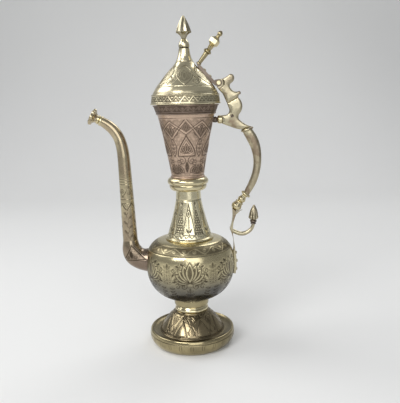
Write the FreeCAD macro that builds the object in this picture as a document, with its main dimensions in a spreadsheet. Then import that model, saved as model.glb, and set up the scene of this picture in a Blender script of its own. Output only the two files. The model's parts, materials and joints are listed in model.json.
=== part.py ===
import FreeCAD, Part
import math
import os
import Sketcher
from FreeCAD import Placement, Rotation, Vector

# Tall brass ewer: dished foot, round body, long neck with a cup, hinged bell lid,
# slim elbowed spout on the -X side and an S-shaped cast handle on the +X side.
# Millimetres, +Z up, the middle of the foot's rest face at the origin.

SIZES = {
    # sheet walls
    "wall": 1.8,
    "thin_wall": 1.6,
    # foot
    "rest_radius": 41.0,
    "rest_width": 3.0,
    "foot_swell": 48.1,
    "foot_swell_height": 12.5,
    "foot_lip_radius": 47.4,
    "foot_lip_height": 18.0,
    "foot_floor_height": 15.4,
    "cone_base_radius": 36.8,
    "cone_top_radius": 18.6,
    "cone_top_height": 38.5,
    "foot_bead_radius": 18.9,
    "foot_bead_height": 5.5,
    "collar_radius": 19.3,
    # body
    "belly_radius": 49.1,
    "belly_height": 93.0,
    "belly_side_curve": 75.0,
    "belly_low_angle": 7.5,
    "belly_low_curve": 34.0,
    "belly_high_angle": 9.2,
    "shoulder_curve": 20.0,
    "shoulder_seam_angle": 24.2,
    # neck and cup
    "neck_ring_foot_radius": 26.2,
    "neck_base_radius": 24.6,
    "neck_base_height": 125.0,
    "neck_waist_radius": 14.0,
    "neck_waist_height": 165.0,
    "neck_top_radius": 13.4,
    "neck_top_height": 176.5,
    "neck_bead_radius": 23.0,
    "cup_foot_radius": 17.8,
    "cup_foot_height": 190.4,
    "cup_top_radius": 30.8,
    "cup_top_height": 258.0,
    "mouth_height": 268.0,
    "mouth_radius": 35.6,
    "mouth_bore_radius": 33.0,
    # lid
    "lid_gap": 0.6,
    "lid_radius": 37.4,
    "lid_band_height": 10.4,
    "lid_shoulder_radius": 35.3,
    "dome_low_radius": 28.2,
    "dome_low_height": 290.5,
    "dome_high_radius": 14.5,
    "dome_high_height": 306.2,
    "dome_top_radius": 7.0,
    "dome_top_height": 318.0,
    "spire_height": 336.0,
    "bud_radius": 8.9,
    "bud_waist_height": 342.6,
    "total_height": 359.7,
    # hinge
    "hinge_across": 35.5,
    "hinge_up": 290.0,
    "pin_radius": 1.6,
    "pin_clearance": 0.05,
    "knuckle_radius": 4.0,
    "tongue_width": 4.0,
    "lug_width": 2.2,
    "side_gap": 0.3,
    "strap_rise": 3.4,
    # thumb lever
    "lever_across": 14.8,
    "lever_up": 309.86,
    "lever_lean": 37.5,
    "knob_width": 10.6,
    # handle
    "bracket_width": 9.0,
    "grip_width": 10.0,
    "grip_bevel": 1.8,
    "collar_lean": 162.7,
    "baluster_lean": 218.3,
    "tail_width": 9.0,
    "tail_rise": 2.8,
    # spout
    "spout_root_height": 97.0,
    "spout_seam_height": 121.0,
    "spout_bore_share": 0.72,
    "mouth_lean": -62.0,
    "spout_lip_radius": 9.2,
}

doc = FreeCAD.newDocument("ewer")
sheet = doc.addObject("Spreadsheet::Sheet", "Sizes")


class Size:
    """A number together with the sheet formula that gives it."""

    def __init__(self, value, formula=None):
        self.value = float(value)
        self.formula = formula if formula else "%.6g" % value

    def joined(self, sign, other, value):
        return Size(value, "(%s %s %s)" % (self.formula, sign, as_size(other).formula))

    def __add__(self, other):
        return self.joined("+", other, self.value + as_size(other).value)

    def __sub__(self, other):
        return self.joined("-", other, self.value - as_size(other).value)

    def __mul__(self, other):
        return self.joined("*", other, self.value * as_size(other).value)

    def __truediv__(self, other):
        return self.joined("/", other, self.value / as_size(other).value)

    def __rsub__(self, other):
        return as_size(other) - self

    def __neg__(self):
        return Size(0) - self


def as_size(number):
    return number if isinstance(number, Size) else Size(number)


def sine(angle):
    angle = as_size(angle)
    return Size(math.sin(math.radians(angle.value)), "sin(%s)" % angle.formula)


def cosine(angle):
    angle = as_size(angle)
    return Size(math.cos(math.radians(angle.value)), "cos(%s)" % angle.formula)


class Sheet:
    """The driving sizes by name."""


dim = Sheet()
for row, (name, number) in enumerate(SIZES.items(), start=1):
    sheet.set("A%d" % row, name)
    sheet.set("B%d" % row, str(number))
    sheet.setAlias("B%d" % row, name)
    setattr(dim, name, Size(number, "Sizes." + name))
doc.recompute()

nodes = []


def new_body(label):
    body = doc.addObject("PartDesign::Body", label)
    body.Label = label
    nodes.append(body)
    return body


def new_sketch(body, name, role="XZ_Plane"):
    sketch = body.newObject("Sketcher::SketchObject", name)
    plane = next(f for f in body.Origin.OriginFeatures if f.Role == role)
    sketch.AttachmentSupport = [(plane, "")]
    sketch.MapMode = "FlatFace"
    return sketch


def bind(item, target, size):
    item.setExpression(target, as_size(size).formula)


def pin_point(sketch, geometry, point, across, up, tag):
    """Hold one point of a sketch at (across, up) from the sketch's origin."""
    for axis, kind, size in ((-2, "DistanceX", across), (-1, "DistanceY", up)):
        size = as_size(size)
        if abs(size.value) < 1e-9:
            sketch.addConstraint(Sketcher.Constraint("PointOnObject", geometry, point, axis))
            continue
        rule = Sketcher.Constraint(kind, -1, 1, geometry, point, size.value)
        index = sketch.addConstraint(rule)
        sketch.renameConstraint(index, "%s_%s" % (kind.lower(), tag))
        bind(sketch, "Constraints[%d]" % index, size)


def arc_between(start, end, radius):
    """The short arc from start to end; a positive radius bulges to the right of the walk."""
    chord = end - start
    middle = (start + end) * 0.5
    left = Vector(-chord.y, chord.x, 0).normalize()
    reach = math.sqrt(max(radius * radius - chord.Length ** 2 / 4, 0))
    centre = middle + left * (reach if radius > 0 else -reach)
    first, last = (start, end) if radius > 0 else (end, start)
    low = math.atan2(first.y - centre.y, first.x - centre.x)
    high = math.atan2(last.y - centre.y, last.x - centre.x)
    if high < low:
        high += 2 * math.pi
    return Part.ArcOfCircle(Part.Circle(centre, Vector(0, 0, 1), abs(radius)), low, high)


def draw_outline(sketch, corners):
    """Draw a closed outline, walked with the material on the left.

    A corner is (across, up) or (across, up, radius). A radius makes the edge from that
    corner to the next an arc: positive swells outwards, negative is hollow.
    """
    places = [Vector(as_size(c[0]).value, as_size(c[1]).value, 0) for c in corners]
    edges = []
    for index, corner in enumerate(corners):
        start = places[index]
        end = places[(index + 1) % len(corners)]
        if len(corner) == 2:
            geometry = sketch.addGeometry(Part.LineSegment(start, end))
            edges.append((geometry, 1, 2))
            continue
        radius = as_size(corner[2])
        geometry = sketch.addGeometry(arc_between(start, end, radius.value))
        ends = (1, 2) if radius.value > 0 else (2, 1)
        edges.append((geometry,) + ends)
    for index, corner in enumerate(corners):
        geometry, first, last = edges[index]
        after, after_first, _ = edges[(index + 1) % len(corners)]
        joint = Sketcher.Constraint("Coincident", geometry, last, after, after_first)
        sketch.addConstraint(joint)
        pin_point(sketch, geometry, first, corner[0], corner[1], str(index))
    for index, corner in enumerate(corners):
        if len(corner) == 3:
            radius = as_size(corner[2])
            bend = radius if radius.value > 0 else -radius
            rule = Sketcher.Constraint("Radius", edges[index][0], bend.value)
            place = sketch.addConstraint(rule)
            sketch.renameConstraint(place, "bend_%d" % index)
            bind(sketch, "Constraints[%d]" % place, bend)


def draw_circle(sketch, across, up, radius):
    radius = as_size(radius)
    place = Vector(as_size(across).value, as_size(up).value, 0)
    circle = Part.Circle(place, Vector(0, 0, 1), radius.value)
    geometry = sketch.addGeometry(circle)
    pin_point(sketch, geometry, 3, across, up, "middle")
    index = sketch.addConstraint(Sketcher.Constraint("Radius", geometry, radius.value))
    sketch.renameConstraint(index, "radius")
    bind(sketch, "Constraints[%d]" % index, radius)


def spin(body, name, corners, kind="Revolution"):
    """Turn an outline drawn as (radius, height) about the body's own Z axis."""
    sketch = new_sketch(body, name + "_outline")
    draw_outline(sketch, corners)
    feature = body.newObject("PartDesign::" + kind, name)
    feature.Profile = sketch
    feature.ReferenceAxis = (sketch, ["V_Axis"])
    feature.Angle = 360.0
    sketch.Visibility = False
    doc.recompute()
    return feature


def turned(label, corners):
    body = new_body(label)
    spin(body, label + "_turned", corners)
    return body


def domed(radius, foot, height):
    """Outline of a low domed head: sloping rim, crown and small flat top."""
    radius, foot = as_size(radius), as_size(foot)
    return [
        (0, foot),
        (radius, foot),
        (radius * 0.86, foot + height * 0.6),
        (radius * 0.5, foot + height),
        (0, foot + height),
    ]


def plate(label, corners, width, draft=0.0):
    """A flat cast piece drawn in the XZ plane; its sides lean in from the middle plane."""
    body = new_body(label)
    sketch = new_sketch(body, label + "_outline")
    draw_outline(sketch, corners)
    pad = body.newObject("PartDesign::Pad", label + "_pad")
    pad.Profile = sketch
    pad.SideType = "Two sides"
    half = as_size(width) / 2
    for length, taper in (("Length", "TaperAngle"), ("Length2", "TaperAngle2")):
        setattr(pad, length, half.value)
        bind(pad, length, half)
        setattr(pad, taper, -draft)
    sketch.Visibility = False
    doc.recompute()
    return body


def faceted_bar(body, name, stations):
    """Loft eight-sided sections (across, up, lean, half width, half depth) along a path."""
    rings = []
    for index, (across, up, lean, half_width, half_depth) in enumerate(stations):
        ring = new_sketch(body, "%s_ring_%d" % (name, index), "XY_Plane")
        across, up, lean = as_size(across), as_size(up), as_size(lean)
        turn = Rotation(Vector(0, 1, 0), lean.value)
        ring.AttachmentOffset = Placement(Vector(across.value, 0, up.value), turn)
        bind(ring, "AttachmentOffset.Base.x", across)
        bind(ring, "AttachmentOffset.Base.z", up)
        wide, deep = as_size(half_width), as_size(half_depth)
        bevel = dim.grip_bevel
        draw_outline(ring, [
            (wide, bevel - deep),
            (wide, deep - bevel),
            (wide - bevel, deep),
            (bevel - wide, deep),
            (-wide, deep - bevel),
            (-wide, bevel - deep),
            (bevel - wide, -deep),
            (wide - bevel, -deep),
        ])
        ring.Visibility = False
        rings.append(ring)
    loft = body.newObject("PartDesign::AdditiveLoft", name)
    loft.Profile = rings[0]
    loft.Sections = rings[1:]
    doc.recompute()


def cut_through(body, name, role, across, up, radius, depth=None, reverse=False):
    """A round hole through the body, square to one of its origin planes."""
    sketch = new_sketch(body, name + "_ring", role)
    draw_circle(sketch, across, up, radius)
    pocket = body.newObject("PartDesign::Pocket", name)
    pocket.Profile = sketch
    if depth is None:
        pocket.Type = "ThroughAll"
        pocket.Reversed = reverse
    else:
        pocket.SideType = "Symmetric"
        pocket.Length = as_size(depth).value
        bind(pocket, "Length", depth)
    sketch.Visibility = False
    doc.recompute()
    return pocket


def place(body, across, up, lean):
    """Stand the body at (across, up) in the XZ plane with its axis leaning towards +X."""
    across, up, lean = as_size(across), as_size(up), as_size(lean)
    turn = Rotation(Vector(0, 1, 0), lean.value)
    body.Placement = Placement(Vector(across.value, 0, up.value), turn)
    bind(body, "Placement.Base.x", across)
    bind(body, "Placement.Base.z", up)
    bind(body, "Placement.Rotation.Angle", lean)
    doc.recompute()


def along(across, up, lean, distance):
    """The point a given distance along an axis that leans towards +X."""
    return (
        as_size(across) + sine(lean) * distance,
        as_size(up) + cosine(lean) * distance,
    )


def tube(body, name, stations, share=1.0, kind="AdditiveLoft"):
    """Loft round sections (across, up, lean, radius) whose planes stand square to the path."""
    rings = []
    for index, (across, up, lean, radius) in enumerate(stations):
        ring = new_sketch(body, "%s_ring_%d" % (name, index), "XY_Plane")
        across, up = as_size(across), as_size(up)
        turn = Rotation(Vector(0, 1, 0), as_size(lean).value)
        ring.AttachmentOffset = Placement(Vector(across.value, 0, up.value), turn)
        bind(ring, "AttachmentOffset.Base.x", across)
        bind(ring, "AttachmentOffset.Base.z", up)
        draw_circle(ring, 0, 0, as_size(radius) * share)
        ring.Visibility = False
        rings.append(ring)
    loft = body.newObject("PartDesign::" + kind, name)
    loft.Profile = rings[0]
    loft.Sections = rings[1:]
    doc.recompute()
    return loft


# Belly outline: three tangent arcs, the inner wall concentric with the outer one.
side_middle = dim.belly_radius - dim.belly_side_curve
low_across = side_middle + cosine(dim.belly_low_angle) * dim.belly_side_curve
low_up = dim.belly_height - sine(dim.belly_low_angle) * dim.belly_side_curve
low_middle_across = low_across - cosine(dim.belly_low_angle) * dim.belly_low_curve
low_middle_up = low_up + sine(dim.belly_low_angle) * dim.belly_low_curve
high_across = side_middle + cosine(dim.belly_high_angle) * dim.belly_side_curve
high_up = dim.belly_height + sine(dim.belly_high_angle) * dim.belly_side_curve
top_middle_across = high_across - cosine(dim.belly_high_angle) * dim.shoulder_curve
top_middle_up = high_up - sine(dim.belly_high_angle) * dim.shoulder_curve
belly_floor = low_middle_up - dim.belly_low_curve
belly_roof = top_middle_up + dim.shoulder_curve


def belly_points(inset):
    """The joints of the belly's arcs, moved in by the inset: floor, low, high, seam, roof."""
    side = dim.belly_side_curve - inset
    low = dim.belly_low_curve - inset
    top = dim.shoulder_curve - inset
    return {
        "floor": (low_middle_across, low_middle_up - low),
        "low": (
            side_middle + cosine(dim.belly_low_angle) * side,
            dim.belly_height - sine(dim.belly_low_angle) * side,
        ),
        "high": (
            side_middle + cosine(dim.belly_high_angle) * side,
            dim.belly_height + sine(dim.belly_high_angle) * side,
        ),
        "seam": (
            top_middle_across + cosine(dim.shoulder_seam_angle) * top,
            top_middle_up + sine(dim.shoulder_seam_angle) * top,
        ),
        "roof": (top_middle_across, top_middle_up + top),
        "bends": (low, side, top),
    }


outer = belly_points(Size(0))
inner = belly_points(dim.wall)

# Foot
rest_inner = dim.rest_radius - dim.rest_width
turned("foot_dish", [
    (rest_inner, 0),
    (dim.rest_radius, 0, 14.6),
    (dim.foot_swell, dim.foot_swell_height, 12.0),
    (dim.foot_lip_radius, dim.foot_lip_height - 1.6, 1.7),
    (dim.foot_lip_radius - 2.0, dim.foot_lip_height, -8.0),
    (dim.cone_base_radius, dim.foot_floor_height),
    (dim.cone_base_radius - 4.0, dim.foot_floor_height),
    (dim.cone_base_radius - 4.0, dim.foot_floor_height - dim.wall),
    (dim.foot_swell - 5.0, dim.foot_floor_height - dim.wall),
])
cone_wall = dim.thin_wall * 1.4
turned("foot_cone", [
    (dim.cone_base_radius - cone_wall, dim.foot_floor_height),
    (dim.cone_base_radius, dim.foot_floor_height, 90.0),
    (dim.cone_top_radius, dim.cone_top_height),
    (dim.cone_top_radius - cone_wall, dim.cone_top_height),
])
bead_top = dim.cone_top_height + dim.foot_bead_height
turned("foot_bead", [
    (14.0, dim.cone_top_height),
    (dim.foot_bead_radius - 1.0, dim.cone_top_height, 2.6),
    (dim.foot_bead_radius - 1.2, bead_top - 1.4),
    (16.8, bead_top),
    (14.0, bead_top),
])
turned("foot_collar", [
    (14.0, bead_top),
    (16.8, bead_top),
    (dim.collar_radius, bead_top + 2.0, 18.0),
    (dim.collar_radius - 0.5, belly_floor + 0.2),
    (16.5, belly_floor + 0.02),
    (14.0, belly_floor),
])

# Body
bowl = turned("body_bowl", [
    (0, belly_floor),
    (outer["floor"][0], outer["floor"][1], outer["bends"][0]),
    (outer["low"][0], outer["low"][1], outer["bends"][1]),
    (outer["high"][0], outer["high"][1], outer["bends"][2]),
    outer["seam"],
    (inner["seam"][0], inner["seam"][1], -inner["bends"][2]),
    (inner["high"][0], inner["high"][1], -inner["bends"][1]),
    (inner["low"][0], inner["low"][1], -inner["bends"][0]),
    inner["floor"],
    (0, belly_floor + dim.wall),
])
spout_root_radius = Size(12.5)
cut_through(bowl, "spout_hole", "YZ_Plane", 0, dim.spout_root_height, spout_root_radius * 0.72)
shoulder_bore = Size(20.5)
turned("body_shoulder", [
    inner["seam"],
    (outer["seam"][0], outer["seam"][1], outer["bends"][2]),
    outer["roof"],
    (shoulder_bore, belly_roof),
    (shoulder_bore, belly_roof - dim.wall),
    (inner["roof"][0], inner["roof"][1], -inner["bends"][2]),
])
turned("neck_base_ring", [
    (shoulder_bore, belly_roof),
    (dim.neck_ring_foot_radius, belly_roof, 1.5),
    (dim.neck_ring_foot_radius - 0.6, belly_roof + 2.4),
    (dim.neck_base_radius, dim.neck_base_height),
    (shoulder_bore, dim.neck_base_height),
])

# Neck
turned("lower_neck", [
    (dim.neck_base_radius - 2.2, dim.neck_base_height),
    (dim.neck_base_radius, dim.neck_base_height, -290.0),
    (dim.neck_waist_radius, dim.neck_waist_height),
    (dim.neck_top_radius, dim.neck_top_height),
    (dim.neck_top_radius - dim.thin_wall, dim.neck_top_height),
    (dim.neck_waist_radius - dim.thin_wall, dim.neck_waist_height, 290.0),
])
ring_bore = dim.neck_top_radius - dim.thin_wall
bead_split = dim.neck_top_height + 6.8
turned("neck_ring", [
    (ring_bore, dim.neck_top_height),
    (dim.neck_bead_radius - 5.0, dim.neck_top_height, 5.2),
    (dim.neck_bead_radius - 2.9, bead_split - 0.6),
    (dim.neck_bead_radius - 1.6, bead_split, 4.0),
    (dim.neck_bead_radius - 1.8, dim.cup_foot_height - 1.6, 3.6),
    (dim.neck_bead_radius - 4.6, dim.cup_foot_height),
    (ring_bore, dim.cup_foot_height),
])
turned("upper_cup", [
    (ring_bore, dim.cup_foot_height),
    (dim.cup_foot_radius + 0.9, dim.cup_foot_height, 1.1),
    (dim.cup_foot_radius, dim.cup_foot_height + 1.7, -740.0),
    (dim.cup_top_radius, dim.cup_top_height),
    (dim.cup_top_radius - dim.thin_wall, dim.cup_top_height, 740.0),
    (dim.cup_foot_radius - dim.thin_wall, dim.cup_foot_height + 2.6),
    (ring_bore, dim.cup_foot_height + 2.6),
])
turned("mouth_band", [
    (dim.cup_top_radius - dim.thin_wall, dim.cup_top_height),
    (dim.cup_top_radius + 0.6, dim.cup_top_height, 1.2),
    (dim.cup_top_radius + 1.5, dim.cup_top_height + 1.8),
    (dim.mouth_radius - 0.9, dim.mouth_height - 1.6, 1.2),
    (dim.mouth_radius, dim.mouth_height),
    (dim.mouth_bore_radius, dim.mouth_height),
])

# Lid
lid_floor = dim.mouth_height + dim.lid_gap
band_top = lid_floor + dim.lid_band_height
band_bore = dim.lid_shoulder_radius - dim.thin_wall
turned("lid_band", [
    (28.4, lid_floor),
    (dim.lid_radius, lid_floor, 0.9),
    (dim.lid_radius - 0.3, lid_floor + 1.6),
    (dim.lid_radius - 1.3, band_top - 1.7, 0.9),
    (dim.lid_radius - 1.5, band_top),
    (band_bore, band_top),
    (band_bore - 0.6, lid_floor + dim.thin_wall),
    (28.4, lid_floor + dim.thin_wall),
])
turned("lid_sleeve", [
    (28.4, lid_floor - 3.2),
    (29.9, lid_floor - 3.2),
    (31.0, lid_floor),
    (28.4, lid_floor),
])
dome_wall = dim.thin_wall
turned("lid_dome", [
    (band_bore, band_top),
    (dim.lid_shoulder_radius, band_top, 44.0),
    (dim.dome_low_radius, dim.dome_low_height),
    (dim.dome_high_radius, dim.dome_high_height, -27.0),
    (dim.dome_top_radius, dim.dome_top_height),
    (0, dim.dome_top_height),
    (0, dim.dome_top_height - 4.0),
    (dim.dome_top_radius - 2.6, dim.dome_top_height - 4.0, 25.0),
    (dim.dome_high_radius - 2.1, dim.dome_high_height),
    (dim.dome_low_radius - 2.1, dim.dome_low_height, -42.0),
])
groove_up = dim.dome_top_height + 8.2
turned("lid_spire", [
    (0, dim.dome_top_height),
    (dim.dome_top_radius, dim.dome_top_height, -40.0),
    (5.7, groove_up),
    (4.9, groove_up + 0.5),
    (5.7, groove_up + 1.3, 9.0),
    (3.4, dim.spire_height - 1.3),
    (2.6, dim.spire_height),
    (0, dim.spire_height),
])
bud = turned("finial_bud", [
    (0, dim.spire_height),
    (2.6, dim.spire_height),
    (dim.bud_radius, dim.bud_waist_height, 60.0),
    (0.7, dim.total_height),
    (0, dim.total_height),
])


def facets(body, name, low_across, low_up, high_across, high_up, count):
    """Flat faces cut round a turned body, each leaning from the low to the high point."""
    far = Size(14.0)
    sketch = new_sketch(body, name + "_outline")
    draw_outline(sketch, [
        (low_across, low_up),
        (far, low_up),
        (far, high_up),
        (high_across, high_up),
    ])
    pocket = body.newObject("PartDesign::Pocket", name)
    pocket.Profile = sketch
    pocket.SideType = "Symmetric"
    pocket.Length = 40.0
    sketch.Visibility = False
    doc.recompute()
    body.Tip = pocket
    pattern = body.newObject("PartDesign::PolarPattern", name + "_round")
    pattern.Originals = [pocket]
    pattern.Axis = (sketch, ["V_Axis"])
    pattern.Angle = 360.0
    pattern.Occurrences = count
    body.Tip = pattern
    doc.recompute()


facets(bud, "bud_facets", dim.bud_radius - 0.75, dim.bud_waist_height - 3.0,
       Size(0.55), dim.total_height + 0.5, 8)

# Hinge strap on the straight flank of the dome, with a lug each side of the bracket
flank_angle = Size(
    math.degrees(math.atan2(
        dim.dome_high_height.value - dim.dome_low_height.value,
        dim.dome_low_radius.value - dim.dome_high_radius.value,
    )),
    "atan2(Sizes.dome_high_height - Sizes.dome_low_height;"
    " Sizes.dome_low_radius - Sizes.dome_high_radius)",
)
out_across = sine(flank_angle)
out_up = cosine(flank_angle)
pivot = (dim.hinge_across, dim.hinge_up)
knuckle = dim.knuckle_radius
strap_width = dim.tongue_width + (dim.lug_width + dim.side_gap) * 2
foot_half = Size(3.0)
foot_left = (
    dim.lever_across - cosine(dim.lever_lean) * foot_half,
    dim.lever_up + sine(dim.lever_lean) * foot_half,
)
foot_right = (
    dim.lever_across + cosine(dim.lever_lean) * foot_half,
    dim.lever_up - sine(dim.lever_lean) * foot_half,
)
strap = plate("lid_strap", [
    (dim.dome_high_radius - 0.6, dim.dome_high_height + 0.8),
    (dim.dome_high_radius, dim.dome_high_height),
    (dim.dome_low_radius, dim.dome_low_height),
    (pivot[0] - out_up * knuckle, pivot[1] - out_across * knuckle, knuckle + 0.02),
    (pivot[0] + out_up * knuckle, pivot[1] + out_across * knuckle, knuckle + 6.0),
    (dim.dome_low_radius + out_across * dim.strap_rise,
     dim.dome_low_height + out_up * dim.strap_rise),
    foot_right,
    foot_left,
], strap_width)
slot = new_sketch(strap, "strap_slot_outline")
draw_circle(slot, pivot[0], pivot[1], knuckle + 1.2)
slot_cut = strap.newObject("PartDesign::Pocket", "strap_slot")
slot_cut.Profile = slot
slot_cut.SideType = "Symmetric"
slot_cut.Length = 4.6
bind(slot_cut, "Length", dim.tongue_width + dim.side_gap * 2)
doc.recompute()
cut_through(strap, "strap_bore", "XZ_Plane", pivot[0], pivot[1],
            dim.pin_radius + dim.pin_clearance, depth=30.0)

# Two rivets hold the strap to the dome
for number, share in ((1, 0.3), (2, 0.72)):
    run_across = dim.dome_high_radius + (dim.dome_low_radius - dim.dome_high_radius) * share
    run_up = dim.dome_high_height + (dim.dome_low_height - dim.dome_high_height) * share
    rivet = turned("strap_rivet_%d" % number, domed(1.9, dim.strap_rise, 1.2))
    place(rivet, run_across, run_up, flank_angle)

# Thumb lever: turned rod, bevelled knob and tip, all on one leaning axis
rod_length = Size(22.8)
rod = turned("thumb_rod", [
    (0, 0),
    (2.6, 0),
    (2.6, 1.2),
    (2.0, 2.2),
    (2.8, 13.8),
    (4.1, 15.2, 1.3),
    (3.9, 17.0),
    (2.3, 18.6),
    (2.9, rod_length),
    (0, rod_length),
])
place(rod, dim.lever_across, dim.lever_up, dim.lever_lean)
knob = new_body("thumb_knob")
knob_sketch = new_sketch(knob, "thumb_knob_outline", "XY_Plane")
half_knob = dim.knob_width / 2
draw_outline(knob_sketch, [
    (-half_knob, -half_knob),
    (half_knob, -half_knob),
    (half_knob, half_knob),
    (-half_knob, half_knob),
])
knob_pad = knob.newObject("PartDesign::Pad", "thumb_knob_pad")
knob_pad.Profile = knob_sketch
bind(knob_pad, "Length", dim.knob_width)
doc.recompute()
knob_bevel = knob.newObject("PartDesign::Chamfer", "thumb_knob_bevel")
knob_bevel.Base = (knob_pad, ["Edge%d" % number for number in range(1, 13)])
bind(knob_bevel, "Size", dim.knob_width * 0.29)
doc.recompute()
place(knob, *along(dim.lever_across, dim.lever_up, dim.lever_lean, rod_length), dim.lever_lean)
tip = turned("thumb_tip", [
    (0, 0),
    (2.2, 0),
    (1.8, 2.4),
    (2.5, 3.4),
    (2.7, 4.4, 3.6),
    (1.7, 7.2),
    (0.8, 8.0),
    (0, 8.0),
])
tip_foot = dim.knob_width + rod_length
place(tip, *along(dim.lever_across, dim.lever_up, dim.lever_lean, tip_foot), dim.lever_lean)

# Hinge bracket, recessed on both sides for the lugs
joint_left = (Size(44.2), Size(268.4))
joint_right = (Size(56.0), Size(274.5))
bracket = plate("hinge_bracket", [
    joint_left,
    joint_right,
    (54.8, 275.6, -3.0),
    (57.6, 278.2, 1.5),
    (56.4, 280.2, -6.5),
    (48.6, 283.6, -3.6),
    (48.9, 289.5, 5.6),
    (51.9, 296.4, 3.4),
    (46.6, 298.2, -16.0),
    (pivot[0] + 1.2, pivot[1] + knuckle - 0.2, knuckle),
    (pivot[0] - 2.0, pivot[1] - knuckle + 0.55, 30.0),
    (39.8, 278.7),
], dim.bracket_width)
recess_depth = (dim.bracket_width - dim.tongue_width) / 2


def side_recess(body, name, radius, sign):
    """A round pocket that leaves only the tongue around the hinge axis."""
    sketch = new_sketch(body, name + "_ring")
    shift = (dim.tongue_width / 2) * sign
    sketch.AttachmentOffset = Placement(Vector(0, 0, shift.value), Rotation())
    bind(sketch, "AttachmentOffset.Base.z", shift)
    draw_circle(sketch, pivot[0], pivot[1], radius)
    pocket = body.newObject("PartDesign::Pocket", name)
    pocket.Profile = sketch
    pocket.Length = 10.0
    pocket.Reversed = sign > 0
    sketch.Visibility = False
    doc.recompute()


side_recess(bracket, "front_recess", knuckle + 2.0, 1)
side_recess(bracket, "back_recess", knuckle + 2.0, -1)
cut_through(bracket, "tongue_bore", "XZ_Plane", pivot[0], pivot[1], dim.pin_radius, depth=30.0)
pin_half = strap_width / 2 + dim.side_gap
pin = turned("hinge_pin", [
    (0, -pin_half - 1.2),
    (2.0, -pin_half - 1.2, 1.2),
    (2.6, -pin_half),
    (dim.pin_radius, -pin_half),
    (dim.pin_radius, pin_half),
    (2.6, pin_half, 1.2),
    (2.0, pin_half + 1.2),
    (0, pin_half + 1.2),
])
pin.Placement = Placement(Vector(35.5, 0, 290), Rotation(Vector(1, 0, 0), 90))
bind(pin, "Placement.Base.x", pivot[0])
bind(pin, "Placement.Base.z", pivot[1])

# Handle arm: post under the bracket, branch to the cup and branch to the grip
collar_top = (Size(64.95), Size(241.7))
end_half = Size(5.3)
end_left = (
    collar_top[0] + cosine(dim.collar_lean) * end_half,
    collar_top[1] - sine(dim.collar_lean) * end_half,
)
end_right = (
    collar_top[0] - cosine(dim.collar_lean) * end_half,
    collar_top[1] + sine(dim.collar_lean) * end_half,
)
arm_left = Size(38.2)
plate("handle_arm", [
    (arm_left, 247.2),
    (48.3, 243.3, 40.0),
    end_left,
    (end_right[0], end_right[1], -30.0),
    (56.4, 251.6, -6.0),
    (57.2, 257.0, 12.0),
    joint_right,
    joint_left,
    (46.4, 262.4, -5.0),
    (44.0, 256.4),
    (arm_left, 255.8),
], dim.bracket_width, 16.0)
arm_pin = turned("arm_pin", domed(1.8, dim.bracket_width / 2, 1.0))
arm_pin.Placement = Placement(Vector(49.2, 0, 255.0), Rotation(Vector(1, 0, 0), 90))
ferrule = turned("arm_ferrule", [
    (0, 0),
    (3.4, 0, 2.6),
    (4.4, 2.4),
    (4.4, 4.6),
    (0, 4.6),
])
place(ferrule, arm_left - 4.6, 251.5, 90)
boss = turned("arm_boss", [
    (0, -6.5),
    (2.6, -6.5),
    (3.3, -2.0, 2.8),
    (2.2, 0),
    (0, 0),
])
place(boss, arm_left - 4.6, 251.5, 90)

# Grip: collar, bevelled leaf-shaped bar, baluster and knop
collar = turned("grip_collar", [
    (0, 0),
    (5.3, 0),
    (6.6, 0.7, 1.4),
    (6.6, 2.5),
    (5.4, 3.2),
    (0, 3.2),
])
place(collar, collar_top[0], collar_top[1], dim.collar_lean)
grip_top = along(collar_top[0], collar_top[1], dim.collar_lean, 3.2)
grip_foot = (Size(64.2), Size(170.6))
grip = new_body("handle_grip")
faceted_bar(grip, "grip_loft", [
    (grip_top[0], grip_top[1], dim.collar_lean, 5.4, dim.grip_width / 2),
    (70.6, 230.4, 153, 5.7, dim.grip_width / 2),
    (74.4, 221.0, 167, 5.2, dim.grip_width / 2),
    (76.2, 209.0, 177, 4.4, dim.grip_width / 2),
    (75.2, 196.0, 190, 4.0, dim.grip_width / 2),
    (71.0, 183.0, 204, 3.9, dim.grip_width / 2),
    (grip_foot[0], grip_foot[1], dim.baluster_lean, 3.3, 3.6),
])
baluster = turned("grip_baluster", [
    (0, 0),
    (4.4, 0),
    (5.2, 1.0, 1.0),
    (5.2, 2.6),
    (3.0, 3.8),
    (3.0, 5.0),
    (4.4, 8.2, 3.4),
    (3.2, 11.4),
    (0, 11.4),
])
place(baluster, grip_foot[0], grip_foot[1], dim.baluster_lean)
knop = turned("leaf_knop", [
    (0, 0),
    (3.2, 0),
    (4.4, 0.9, 0.9),
    (4.2, 2.4),
    (5.7, 6.0, 5.5),
    (3.0, 11.4),
    (0, 11.4),
])
place(knop, *along(grip_foot[0], grip_foot[1], dim.baluster_lean, 11.4), dim.baluster_lean)
tail_top = along(grip_foot[0], grip_foot[1], dim.baluster_lean, 22.8)

# Tail: curved strap down to the belly with a leaf spur, held by rivets
tail_low_angle = Size(10.0)
tail_side = dim.belly_side_curve + dim.tail_rise
leaf_foot = (Size(51.6), Size(146.0))
tail_corner = (
    tail_top[0] - cosine(dim.baluster_lean) * 2.9,
    tail_top[1] + sine(dim.baluster_lean) * 2.9,
)
plate("handle_tail", [
    (side_middle + cosine(tail_low_angle) * dim.belly_side_curve,
     dim.belly_height - sine(tail_low_angle) * dim.belly_side_curve),
    (side_middle + cosine(tail_low_angle) * tail_side,
     dim.belly_height - sine(tail_low_angle) * tail_side, tail_side),
    (side_middle + cosine(dim.belly_high_angle) * tail_side,
     dim.belly_height + sine(dim.belly_high_angle) * tail_side),
    (48.4, 123.8),
    (48.4, 132.2, -40.0),
    leaf_foot,
    tail_corner,
    (tail_top[0] + cosine(dim.baluster_lean) * 2.9,
     tail_top[1] - sine(dim.baluster_lean) * 2.9, -42.0),
    (44.9, 131.0, -40.0),
    (outer["high"][0], outer["high"][1], -dim.belly_side_curve),
], dim.tail_width)
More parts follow.
